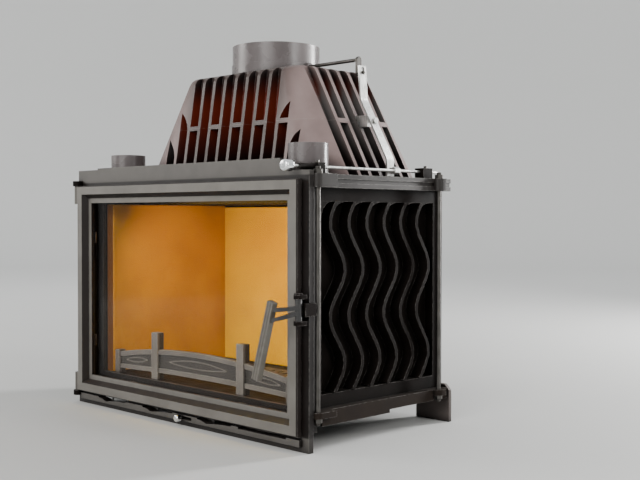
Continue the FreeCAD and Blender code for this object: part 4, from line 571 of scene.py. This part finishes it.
# %% Fibre finish
YARN_DARK, YARN_PALE, YARN_FUZZ = (0.050, 0.050, 0.050), (0.15, 0.148, 0.14), (0.24, 0.235, 0.22)
WEAVE_SCALE, WEAVE_WANDER, FUZZ_SCALE = 180.0, 1.2, 900.0
FIBRE, tree, shader = new_material("glass fibre")
where = place_on_part(tree)
shader.inputs["Sheen Weight"].default_value = 0.35
waves = []
for direction in ("X", "Z"):
    wave = tree.nodes.new("ShaderNodeTexWave")
    wave.bands_direction = direction
    feed(tree, wave.inputs["Vector"], where)
    wave.inputs["Scale"].default_value = WEAVE_SCALE
    wave.inputs["Distortion"].default_value = WEAVE_WANDER
    waves.append(wave.outputs["Fac"])
weave = maths(tree, "MULTIPLY", waves[0], waves[1])
fuzz = noise(tree, where, FUZZ_SCALE, 2.0)
colour = mix_colour(tree, weave, YARN_DARK, YARN_PALE)
colour = mix_colour(tree, between(tree, fuzz, 0.55, 0.75), colour, YARN_FUZZ)
feed(tree, shader.inputs["Base Color"], colour)
feed(tree, shader.inputs["Roughness"], between(tree, fuzz, 0.2, 0.8, 0.8, 0.95))
bump(tree, shader, maths(tree, "ADD", weave, fuzz), 0.5, 0.0004)
print("finish:", FIBRE.name)

# %% [markdown]
# ## Dressing the castings
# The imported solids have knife-sharp edges, which no casting has: the sand rounds every edge by a millimetre
# or two, and that thin rounding is what catches the light. Each solid gets a weld, a planar clean-up, a small
# bevel and weighted normals as modifiers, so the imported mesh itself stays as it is.

# %% Finish of every node and its edge radius in millimetres
MM = 0.001
DRESS = {
    WALL_IRON: {"side_wall_left": 1.4, "side_wall_right": 1.4, "back_wall": 1.5, "baffle_plate": 1.5,
                "rod_bearings": 0.8, "hinge_lugs": 0.8, "latch_keeper": 0.8, "latch_bracket": 0.7},
    BASE_IRON: {"base_plate": 2.0, "ash_pit": 1.5},
    FOOT_IRON: {"rear_foot_left": 1.5, "rear_foot_right": 1.5},
    FRONT_IRON: {"door_frame": 1.0},
    PLATE_IRON: {"front_plate": 1.6},
    HOOD_IRON: {"hood_lower": 1.6, "hood_upper": 1.6},
    TOP_IRON: {"top_plate": 2.0},
    COLLAR_IRON: {"flue_collar": 0.8, "air_spigots": 0.6, "damper_flap": 0.5},
    FIRE_IRON: {"grate": 1.5},
    GUARD_IRON: {"log_guard": 1.0},
    ZINC: {"control_rod": 0.3, "damper_lever": 0.5, "lever_bracket": 0.6},
    DARK_BAR: {"tie_rods": 0.4, "damper_shaft": 0.4},
    SHEET_STEEL: {"air_slide_rails": 0.3, "air_slide_plate": 0.3, "ash_pan": 0.3, "glass_clips": 0.4},
    CHROME: {"control_knob": 0.5, "air_slide_knob": 0.4},
    HANDLE_BLACK: {"handle_lever": 0.8},
    GRIP_GREY: {"handle_grip": 1.5},
    CLAY_SIDE: {"lining_left": 2.5, "lining_right": 2.5},
    CLAY_BACK: {"lining_back": 2.5},
    PANE: {"door_glass": 0.6},
    FIBRE: {"door_rope_seal": 0.5, "glass_gasket": 0.3},
}

# %% Softened edges
WELD_GAP = 1e-6
FLAT_ANGLE = math.radians(0.4)
EDGE_ANGLE = math.radians(38)


def soften(obj, radius):
    """Round the cast edges of one solid with modifiers."""
    weld = obj.modifiers.new("weld seams", "WELD")
    weld.merge_threshold = WELD_GAP
    flat = obj.modifiers.new("join flats", "DECIMATE")
    flat.decimate_type = "DISSOLVE"
    flat.angle_limit = FLAT_ANGLE
    edge = obj.modifiers.new("cast edge", "BEVEL")
    edge.width = radius
    edge.segments = 2
    edge.limit_method = "ANGLE"
    edge.angle_limit = EDGE_ANGLE
    edge.use_clamp_overlap = True
    obj.modifiers.new("even light", "WEIGHTED_NORMAL").keep_sharp = False


dressed = 0
for finish, radii in DRESS.items():
    for node, radius in radii.items():
        nodes[node].data.materials.clear()
        nodes[node].data.materials.append(finish)
        soften(nodes[node], radius * MM)
        dressed += 1
print("dressed", dressed, "of", len(nodes), "nodes")

# %% [markdown]
# ## Tools for new meshes
# Small hardware is turned or hexagonal, so one function spins a profile round an axis with any number of
# sides: many for a washer, six for a bolt head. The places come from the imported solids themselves, which
# keeps every screw on the casting that carries it.

# %% Turned shapes


def turned(profile, start, axis, sides, closed=False):
    """Corners and faces of a profile of (radius, distance) spun about an axis from start."""
    axis = Vector(axis).normalized()
    across = axis.orthogonal().normalized()
    up = axis.cross(across)
    corners, faces = [], []
    for radius, along in profile:
        for k in range(sides):
            angle = 2 * math.pi * k / sides
            side = across * math.cos(angle) + up * math.sin(angle)
            corners.append(Vector(start) + axis * along + side * radius)
    rows = len(profile) if closed else len(profile) - 1
    for row in range(rows):
        a, b = row * sides, (row + 1) % len(profile) * sides
        for k in range(sides):
            n = (k + 1) % sides
            faces.append((a + k, a + n, b + n, b + k))
    if not closed:
        faces.append(tuple(range(sides))[::-1])
        last = (len(profile) - 1) * sides
        faces.append(tuple(range(last, last + sides)))
    return corners, faces


def joined(parts):
    """Several bits of mesh as one."""
    corners, faces = [], []
    for more_corners, more_faces in parts:
        shift = len(corners)
        corners += more_corners
        faces += [tuple(i + shift for i in face) for face in more_faces]
    return corners, faces


# %% Pieces that ride on a body


def new_piece(name, shape, body, finish, smooth_angle=35):
    """A mesh that rides on a body, with its finish."""
    mesh = bpy.data.meshes.new(name)
    mesh.from_pydata([tuple(c) for c in shape[0]], [], shape[1])
    mesh.validate()
    mesh.set_sharp_from_angle(angle=math.radians(smooth_angle))
    for face in mesh.polygons:
        face.use_smooth = True
    mesh.materials.append(finish)
    obj = bpy.data.objects.new(name, mesh)
    bpy.context.scene.collection.objects.link(obj)
    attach(obj, body)
    print("piece:", name, "faces:", len(mesh.polygons))
    return obj


# %% Places read from the solids


def separate_solids(node):
    """Lowest and highest corner of each separate solid of a node."""
    mesh = nodes[node].data
    place = {}
    owner = list(range(len(mesh.vertices)))

    def root(i):
        while owner[i] != i:
            owner[i] = owner[owner[i]]
            i = owner[i]
        return i

    for v in mesh.vertices:
        key = tuple(round(c, 6) for c in v.co)
        owner[root(v.index)] = root(place.setdefault(key, v.index))
    for a, b in mesh.edge_keys:
        owner[root(a)] = root(b)
    boxes = {}
    for v in mesh.vertices:
        low, high = boxes.setdefault(root(v.index), (v.co.copy(), v.co.copy()))
        boxes[root(v.index)] = (Vector(map(min, low, v.co)), Vector(map(max, high, v.co)))
    return list(boxes.values())


# %% [markdown]
# ## Turned knobs
# Both knobs are turned on a lathe, so their edges are full rounds and the grip has a shallow waist. The
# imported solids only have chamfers; the new meshes keep their box and carry the finer profile.

# %% Knob profile
ROUND_SHARE = 0.42
WAIST_SHARE, WAIST_PLACE = 0.965, 0.55
NOSE_R = 0.0004


def knob_profile(length, radius, neck_r, neck_l):
    """Rounded nose, waisted barrel, rounded back and a neck, from the front to the back."""
    round_r = radius * ROUND_SHARE
    head = length - neck_l
    arc = []
    for k in range(7):
        angle = math.radians(15 * k)
        arc.append((radius - round_r + round_r * math.sin(angle), round_r * (1 - math.cos(angle))))
    back = [(r, head - along) for r, along in reversed(arc)]
    waist = (radius * WAIST_SHARE, head * WAIST_PLACE)
    return [(NOSE_R, 0.0), *arc, waist, *back, (neck_r, head), (neck_r, length)]


# %% Knobs
ALONG_ROD = (0, 1, 0)
CONTROL_NECK_R, CONTROL_NECK_L = 0.006, 0.004
SLIDE_NECK_R, SLIDE_HEAD_L = 0.003, 0.014
low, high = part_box("control_knob")
middle = (low + high) / 2
profile = knob_profile(high.y - low.y, (high.x - low.x) / 2, CONTROL_NECK_R, CONTROL_NECK_L)
shape = turned(profile, (middle.x, low.y, middle.z), ALONG_ROD, 48)
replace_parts(new_piece("control_knob_turned", shape, "push_rod", CHROME, 60), "control_knob")
low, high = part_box("air_slide_knob")
middle = (low + high) / 2
profile = knob_profile(high.y - low.y, (high.x - low.x) / 2, SLIDE_NECK_R, high.y - low.y - SLIDE_HEAD_L)
shape = turned(profile, (middle.x, low.y, middle.z), ALONG_ROD, 40)
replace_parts(new_piece("air_slide_knob_turned", shape, "air_slide", CHROME, 60), "air_slide_knob")

# %% [markdown]
# ## Beads inside the rims
# The free edge of a pipe collar is dressed to a round so that a pipe slides over it, and inside it leaves a
# slim bead. A ring on the inner wall, just below the top, gives that bead without making the collar larger.

# %% Beads of the collar and the spigots
UPRIGHT = (0, 0, 1)
COLLAR_BORE_R, COLLAR_BEAD_R, COLLAR_BEAD_DROP = 0.0935, 0.0012, 0.004
SPIGOT_BORE_R, SPIGOT_BEAD_DROP = 0.0359, 0.002
SPIGOT_BEAD = ((0.0, 0.0), (-0.0010, -0.0008), (-0.0013, -0.002), (-0.0010, -0.0032), (0.0, -0.004))
low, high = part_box("flue_collar")
flue = (low + high) / 2
ring = []
for k in range(9):
    angle = math.radians(22.5 * k)
    ring.append((COLLAR_BORE_R + COLLAR_BEAD_R * math.cos(angle),
                 COLLAR_BEAD_R * math.sin(angle) - COLLAR_BEAD_DROP))
bead = turned(ring, (0, flue.y, high.z), UPRIGHT, 96, closed=True)
new_piece("collar_inner_bead", bead, "body", COLLAR_IRON)
beads = []
ring = [(SPIGOT_BORE_R + out, along) for out, along in SPIGOT_BEAD]
for low, high in separate_solids("air_spigots"):
    centre = (low + high) / 2
    beads.append(turned(ring, (centre.x, centre.y, high.z - SPIGOT_BEAD_DROP), UPRIGHT, 64, closed=True))
new_piece("spigot_inner_beads", joined(beads), "body", COLLAR_IRON)

# %% [markdown]
# ## Bolts, screws and washers
# The rod's bearings are bolted to the top plate, the glass clips are screwed to the door and the hinge lugs
# to the front plate. A bolt is a six-sided chamfered head on a round washer, a screw a low dome. The packed
# solids leave these out, because nothing in the physics depends on them.

# %% Bolts of the bearings
BEARING_BOLT_R = 0.004
BEARING_BOLT_H = 0.004
BEARING_BOLT_BACK = 0.009
WASHER_SHARE, WASHER_WIDE, WASHER_TOP = 0.25, 1.25, 1.18
CHAMFER_START, CHAMFER_TOP = 0.8, 0.82


def hex_bolt(place, axis, radius, height):
    """A chamfered hexagon head on a washer, seated at place."""
    place = Vector(place)
    axis = Vector(axis)
    washer_h = height * WASHER_SHARE
    disc = [(radius * WASHER_WIDE, 0), (radius * WASHER_WIDE, washer_h * CHAMFER_START),
            (radius * WASHER_TOP, washer_h)]
    head = [(radius, 0), (radius, height * CHAMFER_START), (radius * CHAMFER_TOP, height)]
    return [turned(disc, place, axis, 28), turned(head, place + axis * washer_h, axis, 6)]


bolts = []
for low, high in separate_solids("rod_bearings"):
    place = ((low.x + high.x) / 2, high.y - BEARING_BOLT_BACK, high.z)
    bolts += hex_bolt(place, UPRIGHT, BEARING_BOLT_R, BEARING_BOLT_H)
new_piece("bearing_bolts", joined(bolts), "body", DARK_BAR, 20)

# %% Screws of the clips and the lugs
CLIP_SCREW_R, CLIP_SCREW_H, CLIP_SCREW_OUT = 0.0036, 0.0022, 0.0055
LUG_SCREW_R, LUG_SCREW_H = 0.0028, 0.0012
LUG_SCREW_IN = Vector((0.004, 0.008, 0.006))
TIP_R = 0.0002
door_mid_z = (door_low.z + door_high.z) / 2


def dome_screw(place, axis, radius, height):
    """A domed round head."""
    profile = []
    for k in range(6):
        angle = math.radians(18 * k)
        profile.append((max(radius * math.cos(angle), TIP_R), height * math.sin(angle)))
    return turned(profile, place, axis, 20)


screws = []
for low, high in separate_solids("glass_clips"):
    middle = (low + high) / 2
    upright = high.z - low.z > high.x - low.x
    place = Vector((middle.x, high.y, middle.z))
    if upright:
        place.x += math.copysign(CLIP_SCREW_OUT, middle.x)
    else:
        place.z += math.copysign(CLIP_SCREW_OUT, middle.z - door_mid_z)
    screws.append(dome_screw(place, (0, 1, 0), CLIP_SCREW_R, CLIP_SCREW_H))
new_piece("glass_clip_screws", joined(screws), "door", ZINC)

screws = []
for low, high in separate_solids("hinge_lugs"):
    lower_lug = (low.z + high.z) / 2 < door_mid_z
    lug_z = low.z + LUG_SCREW_IN.z if lower_lug else high.z - LUG_SCREW_IN.z
    place = Vector((high.x - LUG_SCREW_IN.x, high.y - LUG_SCREW_IN.y, lug_z))
    screws.append(dome_screw(place, (1, 0, 0), LUG_SCREW_R, LUG_SCREW_H))
new_piece("hinge_lug_screws", joined(screws), "body", ZINC)

# %% Threads of the tie rods
ROD_END_R, THREAD_L, THREAD_START = 0.0053, 0.0052, 0.005
THREAD_PITCH = 0.0012
ROOT_SHARE, POINT_SHARE = 0.86, 0.8


def thread(place, axis, radius, length):
    """The end of a screwed rod: crests and roots in turn, and a chamfered end."""
    profile = []
    along = 0.0
    while along < length - THREAD_PITCH:
        profile += [(radius, along), (radius * ROOT_SHARE, along + THREAD_PITCH / 2)]
        along += THREAD_PITCH
    profile.append((radius * POINT_SHARE, length))
    return turned(profile, place, axis, 20)


ends = []
for low, high in separate_solids("tie_rods"):
    middle = (low + high) / 2
    for z, way in ((high.z - THREAD_START, 1), (low.z + THREAD_START, -1)):
        ends.append(thread((middle.x, middle.y, z), (0, 0, way), ROD_END_R, THREAD_L))
new_piece("tie_rod_threads", joined(ends), "body", DARK_BAR, 20)

# %% [markdown]
# ## Fillets under the top band of the walls
# Where a fin runs into the wall's top band, the pattern maker leaves a generous fillet, so that the iron
# flows and the corner doesn't tear as it cools. The fins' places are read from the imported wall, and each
# fillet fills the corner between the band, the leaning fin and an arc that touches both.

# %% One fillet
FILLET_SINK = 0.003


def corner_fillet(corner, along, down, radius, x0, x1, steps=8):
    """Solid from x0 to x1 in a corner (depth, height), up to the arc that touches both its sides."""
    along = Vector(along).normalized()
    down = Vector(down).normalized()
    half = along.angle(down) / 2
    inward = (along + down).normalized()
    centre = corner + inward * radius / math.sin(half)
    reach = radius / math.tan(half)
    first = corner + along * reach - centre
    last = corner + down * reach - centre
    outline = [corner - inward * FILLET_SINK]
    for k in range(steps + 1):
        outline.append(centre + first.lerp(last, k / steps).normalized() * radius)
    count = len(outline)
    corners = [Vector((x, p.x, p.y)) for x in (x0, x1) for p in outline]
    faces = []
    for k in range(1, count - 1):
        faces.append((0, k, k + 1))
        faces.append((count, count + k + 1, count + k))
    for k in range(count):
        n = (k + 1) % count
        faces.append((k, count + k, count + n, n))
    return corners, faces


# %% Wall fillets
# A fin leans by its swing over half a wave. The last two distances run inwards from the fins' outer face.
FIN_T, FIN_SWING, FIN_HALF_WAVE = 0.008, 0.060, 0.091
FIN_LEAN = FIN_SWING / FIN_HALF_WAVE
BORDER_W = 0.017
BAND_BACK, SKIN_BACK = 0.0042, 0.026
FILLET_R, CORNER_R = 0.045, 0.030
SAME = 1e-5
fin_wide = FIN_T * math.hypot(1, FIN_LEAN)
fillets = []
for node, side in (("side_wall_left", -1), ("side_wall_right", 1)):
    wall_low, wall_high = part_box(node)
    out_x = max(abs(wall_low.x), abs(wall_high.x))
    outer = [v.co for v in nodes[node].data.vertices if abs(abs(v.co.x) - out_x) < SAME]
    band_z = max(c.z for c in outer)
    x0, x1 = sorted((side * (out_x - SKIN_BACK), side * (out_x - BAND_BACK)))
    depths = sorted(c.y for c in outer if band_z - c.z < SAME)
    fin_starts = [y for y, before in zip(depths, [-1.0] + depths) if y - before > 2 * FIN_T]
    border = Vector((wall_low.y + BORDER_W, band_z))
    fillets.append(corner_fillet(border, (1, 0), (0, -1), CORNER_R, x0, x1))
    for y in fin_starts:
        fin = Vector((y + fin_wide, band_z))
        fillets.append(corner_fillet(fin, (1, 0), (-FIN_LEAN, -1), FILLET_R, x0, x1))
new_piece("wall_fin_fillets", joined(fillets), "body", WALL_IRON)

# %% [markdown]
# ## Braided rope
# The door seal is a rope of several strands laid round each other and glued into a groove. Its path is a
# closed spline through the groove, read back as points, and each strand winds round that path.

# %% Points along a closed path


def spline_points(name, points):
    """Points read back from a closed smooth spline."""
    curve = bpy.data.curves.new(name, "CURVE")
    curve.dimensions = "3D"
    spline = curve.splines.new("NURBS")
    spline.points.add(len(points) - 1)
    for target, point in zip(spline.points, points):
        target.co = (*point, 1)
    spline.use_cyclic_u = True
    spline.order_u = 3
    spline.resolution_u = 24
    holder = bpy.data.objects.new(name, curve)
    bpy.context.scene.collection.objects.link(holder)
    mesh = bpy.data.meshes.new_from_object(holder)
    line = [v.co.copy() for v in mesh.vertices]
    bpy.data.objects.remove(holder)
    bpy.data.meshes.remove(mesh)
    return line


def even_steps(line, step):
    """Points at even distances along a closed line, and its length."""
    lengths = [0.0]
    ring = line + line[:1]
    for a, b in zip(ring, ring[1:]):
        lengths.append(lengths[-1] + (b - a).length)
    count = int(lengths[-1] / step)
    out, k = [], 0
    for i in range(count):
        target = lengths[-1] * i / count
        while lengths[k + 1] < target:
            k += 1
        share = (target - lengths[k]) / max(lengths[k + 1] - lengths[k], 1e-9)
        out.append(ring[k].lerp(ring[k + 1], share))
    return out, lengths[-1]


# %% Strands


def rope(path, turns, strands, lay_r, strand_r, sides, squash):
    """Strands wound round a closed path that lies in a plane of even depth."""
    parts = []
    count = len(path)
    depth = Vector((0, 1, 0))
    for strand in range(strands):
        corners, faces = [], []
        for i in range(count):
            ahead = (path[(i + 1) % count] - path[i - 1]).normalized()
            side = ahead.cross(depth).normalized()
            phase = 2 * math.pi * (turns * i / count + strand / strands)
            centre = path[i] + side * lay_r * math.cos(phase) + depth * lay_r * squash * math.sin(phase)
            for k in range(sides):
                angle = 2 * math.pi * k / sides
                corners.append(centre + side * strand_r * math.cos(angle)
                               + depth * strand_r * squash * math.sin(angle))
        for i in range(count):
            n = (i + 1) % count
            for k in range(sides):
                m = (k + 1) % sides
                faces.append((i * sides + k, n * sides + k, n * sides + m, i * sides + m))
        parts.append((corners, faces))
    return joined(parts)


# %% Rope in the door's groove
ROPE_R = 0.0035
ROPE_BEND = 0.010
ROPE_STEP = 0.0022
ROPE_TWIST = 0.017
STRANDS, STRAND_LAY, STRAND_R = 4, 0.0017, 0.0019
seal_low, seal_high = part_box("door_rope_seal")
y = (seal_low.y + seal_high.y) / 2
x0, x1 = seal_low.x + ROPE_R, seal_high.x - ROPE_R
z0, z1 = seal_low.z + ROPE_R, seal_high.z - ROPE_R
knots = []
for cx, cz, before, after in ((x0, z0, (0, 1), (1, 0)), (x1, z0, (-1, 0), (0, 1)),
                              (x1, z1, (0, -1), (-1, 0)), (x0, z1, (1, 0), (0, -1))):
    for way, reach in ((before, ROPE_BEND), ((0, 0), 0), (after, ROPE_BEND)):
        knots.append((cx + way[0] * reach, y, cz + way[1] * reach))
path, rope_length = even_steps(spline_points("rope path", knots), ROPE_STEP)
squash = (seal_high.y - seal_low.y) / (2 * (STRAND_LAY + STRAND_R))
seal = rope(path, round(rope_length / ROPE_TWIST), STRANDS, STRAND_LAY, STRAND_R, 6, squash)
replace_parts(new_piece("door_rope_seal_braid", seal, "door", FIBRE, 180), "door_rope_seal")
print("rope length:", round(rope_length, 3), "m")

# %% [markdown]
# ## Leaf mouldings of the log guard
# Each panel of the guard carries a slim leaf outline, cast with it. A closed tube laid on the panel's face
# gives the half-round moulding: its back half sinks into the casting, and it stays below the panel's rim.

# %% Leaves on the guard
LEAF_FOOT, LEAF_ARCH = 0.0295, 0.015
LEAF_R = 0.0017
PANEL_DEEP = 0.007
LEAVES = ((0.0, 0.33, 0.008), (-0.735, 0.14, 0.005), (0.735, 0.14, 0.005))
guard_half = (guard_high.x - guard_low.x) / 2


def leaf_path(centre, half_l, half_h, face_y, steps=48):
    """Closed outline of a pointed leaf that follows the arch of the guard."""
    path = []
    for k in range(steps):
        angle = 2 * math.pi * k / steps
        x = centre + half_l * math.cos(angle)
        arch = LEAF_FOOT + LEAF_ARCH * (1 - (x / guard_half) ** 2)
        bow = half_h * math.sin(angle) * abs(math.sin(angle))
        path.append(Vector((x, face_y, guard_low.z + arch + bow)))
    return path


leaves = []
for centre, half_l, half_h in LEAVES:
    line = leaf_path(centre * guard_half, half_l * guard_half, half_h, guard_low.y + PANEL_DEEP)
    leaves.append(rope(line, 0, 1, 0.0, LEAF_R, 10, 1.0))
new_piece("guard_leaf_mouldings", joined(leaves), "body", GUARD_IRON, 180)

# %% [markdown]
# ## Woven tape under the pane
# The tape is a flat ring with slightly raised edges, a selvedge, on both sides. Mitred corners are how it is
# really cut, so four copies of its profile, one at each corner, are enough.

# %% Tape under the glass
TAPE_W = 0.010
TAPE_PROFILE = [(0.0, 0.3), (0.0, 0.85), (0.06, 1.0), (0.14, 1.0), (0.2, 0.88), (0.5, 0.94), (0.8, 0.88),
                (0.86, 1.0), (0.94, 1.0), (1.0, 0.85), (1.0, 0.3), (0.94, 0.0), (0.06, 0.0)]
tape_low, tape_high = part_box("glass_gasket")
tape_t = tape_high.y - tape_low.y
corners, faces = [], []
for right_end, top_end in ((0, 0), (1, 0), (1, 1), (0, 1)):
    for across, deep in TAPE_PROFILE:
        inset = across * TAPE_W
        x = tape_high.x - inset if right_end else tape_low.x + inset
        z = tape_high.z - inset if top_end else tape_low.z + inset
        corners.append(Vector((x, tape_low.y + deep * tape_t, z)))
count = len(TAPE_PROFILE)
for corner in range(4):
    n = (corner + 1) % 4
    for k in range(count):
        m = (k + 1) % count
        faces.append((corner * count + k, corner * count + m, n * count + m, n * count + k))
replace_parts(new_piece("glass_tape", (corners, faces), "door", FIBRE, 50), "glass_gasket")

# %% [markdown]
# ## Floor, light and camera
# The part stands in a wide pale bowl: a floor that rises smoothly into a wall all round, so no horizon shows
# from any side. The floor is a little darker close to the part. A large soft lamp in front to the right
# lights the door and the wall, a second one on the left opens the front, and a tall strip behind draws the
# edges of collar and spigots. A small one on the right lifts the hood's side, a weak one low in front opens
# the shadows, and a warm one inside brings out the ochre of the linings. The camera stands where the
# photograph was taken from.

# %% Pale bowl
FLOOR_R, BEND_R, WALL_H = 7.0, 2.0, 5.0
FLOOR_NEAR, FLOOR_MOTTLE, FLOOR_FAR = (0.41, 0.413, 0.405), (0.435, 0.438, 0.43), (0.80, 0.805, 0.795)
NEAR_TO_FAR = (0.5, 4.5)
profile = [(0.02, 0.0), (3.0, 0.0)]
for k in range(13):
    angle = math.radians(7.5 * k)
    profile.append((FLOOR_R + BEND_R * math.sin(angle), BEND_R * (1 - math.cos(angle))))
profile.append((FLOOR_R + BEND_R, WALL_H))
corners, faces = turned(profile, (0, 0, 0), UPRIGHT, 96)
mesh = bpy.data.meshes.new("studio_floor")
mesh.from_pydata([tuple(c) for c in corners], [], faces[:-1])
for face in mesh.polygons:
    face.use_smooth = True
floor = bpy.data.objects.new("studio_floor", mesh)
bpy.context.scene.collection.objects.link(floor)
floor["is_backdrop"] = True
FLOOR, tree, shader = new_material("pale floor")
where = place_on_part(tree)
plain = mix_colour(tree, noise(tree, where, 1.4, 3.0), FLOOR_NEAR, FLOOR_MOTTLE)
far = between(tree, vector_maths(tree, "LENGTH", where)["Value"], *NEAR_TO_FAR)
feed(tree, shader.inputs["Base Color"], mix_colour(tree, far, plain, FLOOR_FAR))
shader.inputs["Roughness"].default_value = 0.85
mesh.materials.append(FLOOR)
print("floor radius:", FLOOR_R, "m")

# %% Lamps
world = bpy.context.scene.world or bpy.data.worlds.new("studio")
bpy.context.scene.world = world
world.use_nodes = True
world.node_tree.nodes["Background"].inputs["Color"].default_value = (0.86, 0.87, 0.88, 1)
world.node_tree.nodes["Background"].inputs["Strength"].default_value = 1.0


def soft_lamp(name, place, target, width, height, watts, colour):
    light = bpy.data.lights.new(name, "AREA")
    light.shape = "RECTANGLE"
    light.size = width
    light.size_y = height
    light.energy = watts
    light.color = colour
    obj = bpy.data.objects.new(name, light)
    obj.location = place
    aim = Vector(target) - Vector(place)
    obj.rotation_euler = aim.to_track_quat("-Z", "Y").to_euler()
    obj.visible_camera = False
    bpy.context.scene.collection.objects.link(obj)
    print("lamp:", name, watts, "W")


soft_lamp("front_lamp", place=(1.3, -3.3, 2.3), target=(0, -0.1, 0.4), width=1.9, height=1.6,
          watts=95, colour=(1.0, 0.985, 0.96))
soft_lamp("left_lamp", place=(-2.7, -2.0, 1.6), target=(0, -0.1, 0.35), width=1.4, height=1.3,
          watts=55, colour=(1.0, 0.975, 0.94))
soft_lamp("edge_lamp", place=(1.1, 2.9, 1.2), target=(0.1, 0.0, 0.6), width=0.4, height=2.0,
          watts=180, colour=(1.0, 0.99, 0.98))
soft_lamp("right_lamp", place=(3.2, 0.5, 1.7), target=(0.1, 0.0, 0.62), width=0.9, height=0.9,
          watts=45, colour=(1.0, 0.99, 0.97))
soft_lamp("low_lamp", place=(0.2, -3.4, 0.7), target=(0, -0.1, 0.25), width=2.2, height=0.9,
          watts=20, colour=(1.0, 0.98, 0.95))
soft_lamp("glow_lamp", place=(0.0, -0.12, 0.42), target=(0, 0.2, 0.28), width=0.4, height=0.12,
          watts=3.2, colour=(1.0, 0.62, 0.04))

# %% Camera
CAMERA_PLACE = Vector((1.734, -1.514, 0.441))
SENSOR_W, LENS = 36.0, 57.54
turn, dip, roll = math.radians(44.63), math.radians(1.28), math.radians(0.09)
ahead = Vector((-math.sin(turn) * math.cos(dip), math.cos(turn) * math.cos(dip), -math.sin(dip)))
right = Vector((math.cos(turn), math.sin(turn), 0))
up = right.cross(ahead)
right, up = right * math.cos(roll) + up * math.sin(roll), up * math.cos(roll) - right * math.sin(roll)
lens = bpy.data.cameras.new("camera")
lens.sensor_width = SENSOR_W
lens.lens = LENS
camera = bpy.data.objects.new("camera", lens)
camera.matrix_world = Matrix.Translation(CAMERA_PLACE) @ Matrix((right, up, -ahead)).transposed().to_4x4()
bpy.context.scene.collection.objects.link(camera)
bpy.context.scene.camera = camera
print("camera at", [round(c, 3) for c in CAMERA_PLACE])

# %% Box of the dressed part
low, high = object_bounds()
print("dressed box:", [round(c, 3) for c in high - low])
